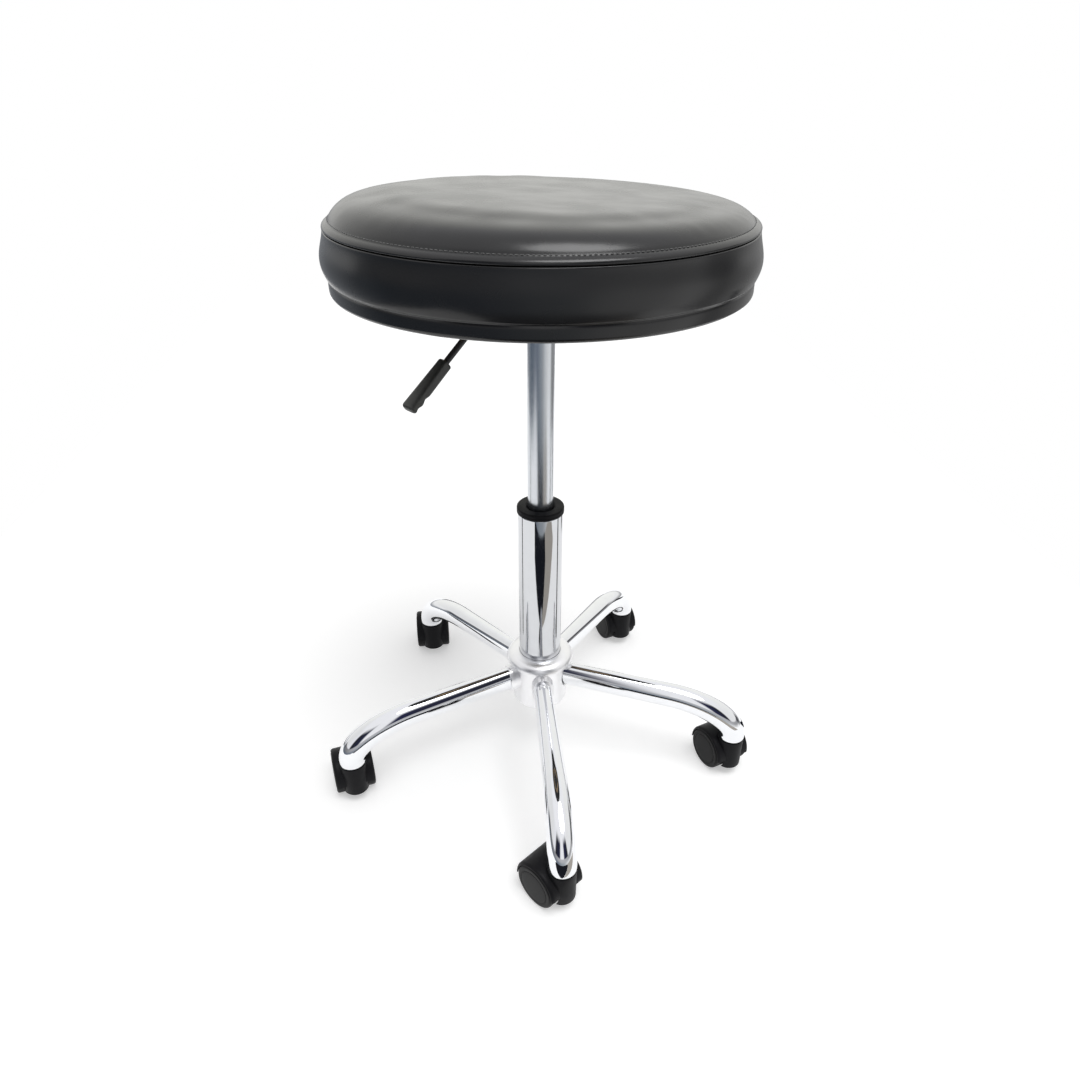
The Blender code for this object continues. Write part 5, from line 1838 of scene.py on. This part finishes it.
@dataclass
class Caster:
    """One twin-wheel caster: a stem, a hood over both wheels, and the wheels on their axle."""

    stool: StoolFrame
    trail: float = 18.0 * MM
    wheel_radius: float = 25.0 * MM
    wheel_width: float = 17.0 * MM
    wheel_corner: float = 6.0 * MM
    wheel_inner_corner: float = 2.2 * MM
    wheel_bulge: float = 0.5 * MM
    wheel_sides: int = 72
    face_groove_radius: float = 18.6 * MM
    face_groove: float = 0.4 * MM
    groove_round: float = 0.2 * MM
    groove_floor: float = 0.2
    groove_slope: float = 0.5
    bore_round: float = 0.5 * MM
    inner_land: float = 6.0 * MM
    tread_start: float = 2.2
    axle_radius: float = 4.0 * MM
    axle_end: float = 20.8 * MM
    web: float = 11.4 * MM
    side_gap: float = 0.6 * MM
    roof_wall: float = 1.6 * MM
    shoulder: float = 4.0 * MM
    shoulder_turn: float = math.radians(62.0)
    lobe_wall: float = 15.5 * MM
    nose_radius: float = 15.3 * MM
    nose_floor: float = 12.0 * MM
    nose_foot_round: float = 1.6 * MM
    nose_rim_round: float = 0.8 * MM
    nose_sides: int = 56
    neck_radius: float = 4.0 * MM
    neck_length: float = 22.0 * MM
    neck_round: float = 0.6 * MM
    collar_radius: float = 8.0 * MM
    collar_height: float = 1.3 * MM
    collar_round: float = 0.4 * MM
    shank_round: float = 1.0 * MM
    shank_radius: float = 5.5 * MM

    def __post_init__(self) -> None:
        """Work out the hood's radii from the frame."""
        self.hood_top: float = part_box("caster_hood_1")[1].z
        self.roof: float = self.hood_top - self.wheel_radius
        self.well: float = self.roof - self.roof_wall
        self.half_width: float = self.web / 2 + self.side_gap + self.wheel_width

    @functools.cached_property
    def wheel(self) -> Mesh:
        """Make one wheel about Z, its inner face at 0, with a slightly domed outer face."""
        bore = self.axle_radius + FIT
        blind = self.axle_end - self.web / 2 - self.side_gap + FIT
        face = self.wheel_width
        groove = self.face_groove
        edge = self.face_groove_radius
        dome = [
            Vector((edge * math.cos(t), face + self.wheel_bulge * math.sin(t)))
            for t in spread(0.0, QUARTER, 10)[1:-1]
        ]
        outline = rounded([
            Corner(0.0, blind),
            Corner(bore, blind),
            Corner(bore, 0.0, self.bore_round),
            Corner(self.wheel_radius - self.inner_land, 0.0),
            Corner(self.wheel_radius, 0.0, self.wheel_inner_corner),
            Corner(self.wheel_radius, self.wheel_inner_corner * self.tread_start),
            Corner(self.wheel_radius, face, self.wheel_corner, 10),
            Corner(edge + groove, face, self.groove_round, 3),
            Corner(edge, face - groove, self.groove_round, 3),
        ], closed=False)
        floor = groove * self.groove_floor
        outline[-1] = Vector((edge + floor, face - groove))
        outline.append(Vector((edge - groove * self.groove_slope, face - floor)))
        outline += dome + [Vector((0.0, face + self.wheel_bulge))]
        return turned("caster_wheel", outline, self.wheel_sides, closed=False)

    def roof_ring(self, y: float, inset: float) -> Ring:
        """Give the hood's side outline at a place across it, drawn in at the roof."""
        axle = (self.trail, self.wheel_radius)
        lobe = self.axle_radius + FIT + self.lobe_wall
        outline = arc(axle, self.roof - inset, 0.0, math.pi, 48)
        outline += arc(axle, lobe, math.pi, math.tau, 24)
        return [Vector((x, y, z)) for x, z in outline]

    @functools.cached_property
    def hood(self) -> Mesh:
        """Make the hood: a web between the wheels, a roof with round shoulders, and the nose."""
        bends = spread(0.0, self.shoulder_turn, 7)
        start = self.half_width - self.shoulder
        half = [
            (start + self.shoulder * math.sin(t), self.shoulder * (1 - math.cos(t))) for t in bends
        ]
        stations = [(-y, inset) for y, inset in reversed(half)] + half
        hood = lofted("caster_hood", [self.roof_ring(y, inset) for y, inset in stations])
        nose = rounded([
            Corner(0.0, self.nose_floor),
            Corner(self.nose_radius, self.nose_floor, self.nose_foot_round),
            Corner(self.nose_radius, self.hood_top, self.nose_rim_round),
            Corner(0.0, self.hood_top),
        ], closed=False)
        hood = combined(hood, turned("nose", nose, self.nose_sides, closed=False), Cut.ADD)
        to_axle = Matrix.Translation((self.trail, 0.0, self.wheel_radius))
        lip = self.shoulder - self.roof_wall
        well = [Vector((0.0, self.web / 2)), Vector((self.well, self.web / 2))]
        for bend in bends:
            reach = self.well - lip * (1 - math.cos(bend))
            well.append(Vector((reach, start + lip * math.sin(bend))))
        well += [Vector((well[-1].x, 2 * self.half_width)), Vector((0.0, 2 * self.half_width))]
        half_side = Matrix.Rotation(math.pi / self.wheel_sides, 4, "Z")
        for side in Side:
            tool = turned("well", well, self.wheel_sides, closed=False)
            facing = to_axle @ self.facing(side) @ half_side
            hood = combined(hood, moved(tool, facing), Cut.TAKE)
        reach = self.half_width
        bore = along_y(peg("bore", self.axle_radius + FIT, -reach, reach, SMALL_ROUND))
        hood = combined(hood, moved(bore, to_axle), Cut.TAKE)
        neck_floor = self.hood_top - self.neck_length - FIT
        neck_top = self.hood_top + 2 * PAST
        neck = peg("neck", self.neck_radius + FIT, neck_floor, neck_top, SMALL_ROUND)
        return combined(hood, neck, Cut.TAKE)

    @staticmethod
    def facing(side: Side) -> Matrix:
        """Turn what stands along Z to face out at one side of the caster."""
        return Matrix.Rotation(-side.value * QUARTER, 4, "X")

    @functools.cached_property
    def stem(self) -> Mesh:
        """Make the stem: a neck for the hood, a thin collar, and the shank for the leg's socket."""
        low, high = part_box("caster_stem_1")
        collar = self.hood_top + FIT
        corners = [
            Corner(0.0, low.z),
            Corner(self.neck_radius, low.z, self.neck_round),
            Corner(self.neck_radius, collar),
            Corner(self.collar_radius, collar, self.collar_round),
            Corner(self.collar_radius, collar + self.collar_height, self.collar_round),
            Corner(self.shank_radius, collar + self.collar_height),
            Corner(self.shank_radius, high.z, self.shank_round),
            Corner(0.0, high.z),
        ]
        outline = rounded(corners, closed=False)
        return turned("caster_stem", outline, MIDDLE_ROUND, closed=False)

    def build(self, number: int) -> None:
        """Make and dress one caster.

        Args:
            number: Which leg it is under.
        """
        place = self.stool.caster(number)
        body = f"caster_{number}"
        hood, stem = f"caster_hood_{number}", f"caster_stem_{number}"
        add_piece(f"twin_hood_{number}", self.hood, BLACK_MOULDING, body, place, hood)
        add_piece(f"swivel_stem_{number}", self.stem, ZINC_STEEL, body, place, stem)
        refinish(ZINC_STEEL, f"caster_axle_{number}")
        for side in Side:
            word = side.name.lower()
            across = side.value * (self.web / 2 + self.side_gap)
            inner = Matrix.Translation((self.trail, across, self.wheel_radius))
            add_piece(
                f"twin_wheel_{word}_{number}", self.wheel, CASTER_NYLON, f"wheel_{word[0]}{number}",
                place @ inner @ self.facing(side), f"wheel_{word}_{number}",
            )


@dataclass(frozen=True)
class Card:
    """A card that lies on the floor and only shows in reflections."""

    name: str
    outline: tuple[Span, ...]
    colour: Colour


Stops = tuple[tuple[float, Colour], ...]

DARK: Colour = (0.012, 0.013, 0.018)
CARDS = (
    Card(
        "dark_card",
        ((0.0, -0.28), (-0.33, -0.5), (-0.49, -0.739), (0.22, -0.739), (0.2, -0.55)),
        DARK,
    ),
    Card(
        "warm_card",
        ((0.01, -0.29), (0.2, -0.55), (0.22, -0.739), (0.68, -0.739), (0.6, -0.35)),
        (0.42, 0.39, 0.35),
    ),
    Card("left_card", ((-0.24, 0.075), (-0.8, 0.21), (-0.8, 0.3), (-0.24, 0.1)), DARK),
    Card("right_card", ((0.25, 0.0), (0.85, -0.02), (0.85, 0.08), (0.25, 0.03)), DARK),
    Card("back_right_card", ((0.5, 0.35), (1.4, 0.5), (1.4, 0.75), (0.5, 0.45)), DARK),
    Card("back_card", ((-0.12, 0.6), (0.1, 0.6), (0.25, 1.6), (-0.35, 1.6)), (0.03, 0.032, 0.04)),
)
FLOOR = ((-0.95, -0.74), (0.95, -0.74), (0.95, 2.5), (-0.95, 2.5))
WALLS: Stops = (
    (0.0, (0.8, 0.8, 0.8)),
    (0.08, (0.85, 0.85, 0.88)),
    (0.105, (0.02, 0.022, 0.03)),
    (0.185, (0.02, 0.022, 0.05)),
    (0.21, (0.9, 0.9, 0.92)),
    (0.265, (0.9, 0.9, 0.92)),
    (0.285, (0.02, 0.022, 0.06)),
    (0.35, (0.02, 0.022, 0.03)),
    (0.37, (0.85, 0.85, 0.85)),
    (0.75, (1.0, 1.0, 0.96)),
    (1.0, (0.8, 0.8, 0.8)),
)
SKIRTING: Stops = (
    (0.0, (0.2, 0.2, 0.21)),
    (0.25, (0.5, 0.5, 0.52)),
    (0.45, (0.35, 0.35, 0.36)),
    (0.5, (0.06, 0.06, 0.07)),
    (0.54, (0.06, 0.06, 0.07)),
    (0.57, (0.9, 0.9, 0.9)),
    (0.75, (1.0, 1.0, 0.96)),
    (0.94, (0.9, 0.9, 0.9)),
    (0.965, (0.06, 0.06, 0.07)),
    (1.0, (0.2, 0.2, 0.21)),
)
GROUND: Stops = (
    (0.0, (0.12, 0.15, 0.19)),
    (0.14, (0.15, 0.18, 0.23)),
    (0.25, (0.34, 0.37, 0.4)),
    (0.36, (0.8, 0.8, 0.8)),
    (0.46, (1.0, 1.0, 1.0)),
    (0.5, (0.3, 0.3, 0.3)),
    (0.6, (0.4, 0.4, 0.4)),
    (0.9, (0.3, 0.32, 0.35)),
    (1.0, (0.12, 0.15, 0.19)),
)
PIT: Colour = (0.05, 0.05, 0.055)
CEILING: Colour = (0.92, 0.92, 0.94)


@dataclass
class Studio:
    """The white studio: floor, soft light, the room that the chrome reflects, and the camera."""

    stool: StoolFrame
    lens: float = 26.378
    sensor: float = 36.0
    distance: float = 0.7644
    height: float = 0.7593
    swing: float = math.radians(-5.614)
    yaw: float = math.radians(-5.584)
    pitch: float = math.radians(30.912)
    roll: float = math.radians(0.204)
    floor_colour: Colour = (0.8, 0.8, 0.8)
    floor_lift: float = 0.4
    card_height: float = 0.4 * MM
    lamp_strength: float = 1.4
    lamp_spread: float = math.radians(34.0)
    lamp_from: Vector = Vector((0.2, -0.27, 1.0))
    room_light: float = 0.5
    ground_rise: Span = (-0.62, -0.47)
    skirting_rise: Span = (-0.08, 0.08)
    walls_rise: Span = (0.14, 0.2)
    ceiling_rise: Span = (0.6, 0.8)

    def camera(self) -> None:
        """Set up the camera at the photograph's place."""
        data = bpy.data.cameras.new("camera")
        data.lens = self.lens
        data.sensor_width = self.sensor
        data.clip_start = PAST
        eye = bpy.data.objects.new("camera", data)
        bpy.context.scene.collection.objects.link(eye)
        aside = self.distance * math.sin(self.swing)
        back = -self.distance * math.cos(self.swing)
        place = self.stool.column().translation + Vector((aside, back, self.height))
        level = math.cos(self.pitch)
        ahead = Vector((
            -math.sin(self.yaw) * level, math.cos(self.yaw) * level, -math.sin(self.pitch)
        ))
        right = ahead.cross(UP).normalized()
        over = right.cross(ahead)
        tilted = right * math.cos(self.roll) + over * math.sin(self.roll)
        above = over * math.cos(self.roll) - right * math.sin(self.roll)
        matrix = Matrix((tilted, above, -ahead)).transposed().to_4x4()
        matrix.translation = place
        eye.matrix_world = matrix
        bpy.context.scene.camera = eye

    @staticmethod
    def sheet(
        name: str, outline: Sequence[Span], height: float, material: bpy.types.Material
    ) -> bpy.types.Object:
        """Lay a flat sheet.

        Args:
            name: The sheet's name.
            outline: Its corners as (x, y).
            height: How high it lies.
            material: What it is made of.

        Returns:
            The sheet.
        """
        mesh = bpy.data.meshes.new(name)
        mesh.from_pydata([(x, y, height) for x, y in outline], [], [list(range(len(outline)))])
        mesh.materials.append(material)
        sheet = bpy.data.objects.new(name, mesh)
        bpy.context.scene.collection.objects.link(sheet)
        return sheet

    def floor(self) -> None:
        """Lay the white floor, which keeps the stool's soft shadow."""
        material = bpy.data.materials.new("white paper")
        graph = Graph(material)
        graph.tree.nodes.clear()
        path = graph.node("LightPath").outputs
        seen = graph.worked("MAXIMUM", path["Is Camera Ray"], path["Is Glossy Ray"])
        seen = graph.worked("MAXIMUM", seen, path["Is Transmission Ray"])
        lift = graph.node("Math", seen, operation="MULTIPLY")
        lift.inputs[1].default_value = self.floor_lift
        paper = graph.node("BsdfDiffuse")
        paper.inputs["Color"].default_value = (*self.floor_colour, 1.0)
        glow = graph.node("Emission")
        graph.link(lift.outputs["Value"], glow.inputs["Strength"])
        both = graph.node("AddShader", paper.outputs["BSDF"], glow.outputs["Emission"])
        graph.node("OutputMaterial", both.outputs["Shader"])
        floor = self.sheet("floor", FLOOR, 0.0, material)

    def cards(self) -> None:
        """Lay the cards that put dark and warm streaks into the chrome."""
        for each in CARDS:
            material = bpy.data.materials.new(each.name)
            graph = Graph(material)
            graph.tree.nodes.clear()
            glow = graph.node("Emission")
            glow.inputs["Color"].default_value = (*each.colour, 1.0)
            graph.node("OutputMaterial", glow.outputs["Emission"])
            card = self.sheet(each.name, each.outline, self.card_height, material)
            card.visible_camera = False
            card.visible_diffuse = False
            card.visible_transmission = False
            card.visible_shadow = False

    def lamp(self) -> None:
        """Set the wide soft light that comes from high above, a little in front."""
        data = bpy.data.lights.new("soft_light", "SUN")
        data.energy = self.lamp_strength
        data.angle = self.lamp_spread
        lamp = bpy.data.objects.new("soft_light", data)
        bpy.context.scene.collection.objects.link(lamp)
        lamp.rotation_euler = (-self.lamp_from).to_track_quat("-Z", "Y").to_euler()

    @staticmethod
    def ramp(graph: Graph, share: Socket, stops: Stops) -> Socket:
        """Give colours round the room.

        Args:
            graph: The world's nodes.
            share: The heading, from 0 to 1.
            stops: The colours and where they stand, first at 0 and last at 1.

        Returns:
            The colour socket.
        """
        node = graph.node("ValToRGB", share)
        node.color_ramp.interpolation = "EASE"
        elements = node.color_ramp.elements
        for place, colour in stops[1:-1]:
            elements.new(place).color = (*colour, 1.0)
        elements[0].color = (*stops[0][1], 1.0)
        elements[len(stops) - 1].color = (*stops[-1][1], 1.0)
        return node.outputs["Color"]

    def room(self, graph: Graph) -> Socket:
        """Give the room's colours as the chrome reflects them, from the pit up to the ceiling."""
        split = graph.node("SeparateXYZ", graph.node("TexCoord").outputs["Generated"]).outputs
        heading = graph.worked("ARCTAN2", split["Y"], split["X"])
        share = graph.span(heading, (-math.pi, math.pi), curve="LINEAR")
        layers = (
            (self.ground_rise, self.ramp(graph, share, GROUND)),
            (self.skirting_rise, self.ramp(graph, share, SKIRTING)),
            (self.walls_rise, self.ramp(graph, share, WALLS)),
            (self.ceiling_rise, CEILING),
        )
        colour: Colour | Socket = PIT
        for rise, above in layers:
            colour = graph.tinted(graph.span(split["Z"], rise), colour, above)
        return colour

    def world(self) -> None:
        """Make the world: white to the eye, even for diffuse light, and the room in reflections."""
        world = bpy.data.worlds.new("studio")
        bpy.context.scene.world = world
        graph = Graph(world)
        graph.tree.nodes.clear()
        even = graph.node("Background")
        even.inputs["Color"].default_value = (*(self.room_light,) * 3, 1.0)
        white = graph.node("Background")
        white.inputs["Color"].default_value = (1.0, 1.0, 1.0, 1.0)
        room = graph.node("Background", self.room(graph))
        even_out, room_out, white_out = (n.outputs["Background"] for n in (even, room, white))
        path = graph.node("LightPath").outputs
        unseen = graph.node("MixShader", path["Is Glossy Ray"], even_out, room_out)
        eye = graph.worked("MAXIMUM", path["Is Camera Ray"], path["Is Transmission Ray"])
        both = graph.node("MixShader", eye, unseen.outputs["Shader"], white_out)
        graph.node("OutputWorld", both.outputs["Shader"])

    def build(self) -> None:
        """Set up the studio."""
        bpy.context.scene.view_settings.view_transform = "Standard"
        self.camera()
        self.floor()
        self.cards()
        self.lamp()
        self.world()
        LOG.info("studio ready")


def main() -> None:
    """Build the stool's sub-assemblies and the studio, in order."""
    logging.basicConfig(level=logging.INFO, format="%(name)s: %(message)s")
    stool = StoolFrame.read()
    Base(stool).build()
    GasLift(stool).build()
    SeatMechanism(stool).build()
    Cushion(stool).build()
    caster = Caster(stool)
    for number in LEGS:
        caster.build(number)
    Studio(stool).build()


if __name__ == "__main__":
    main()
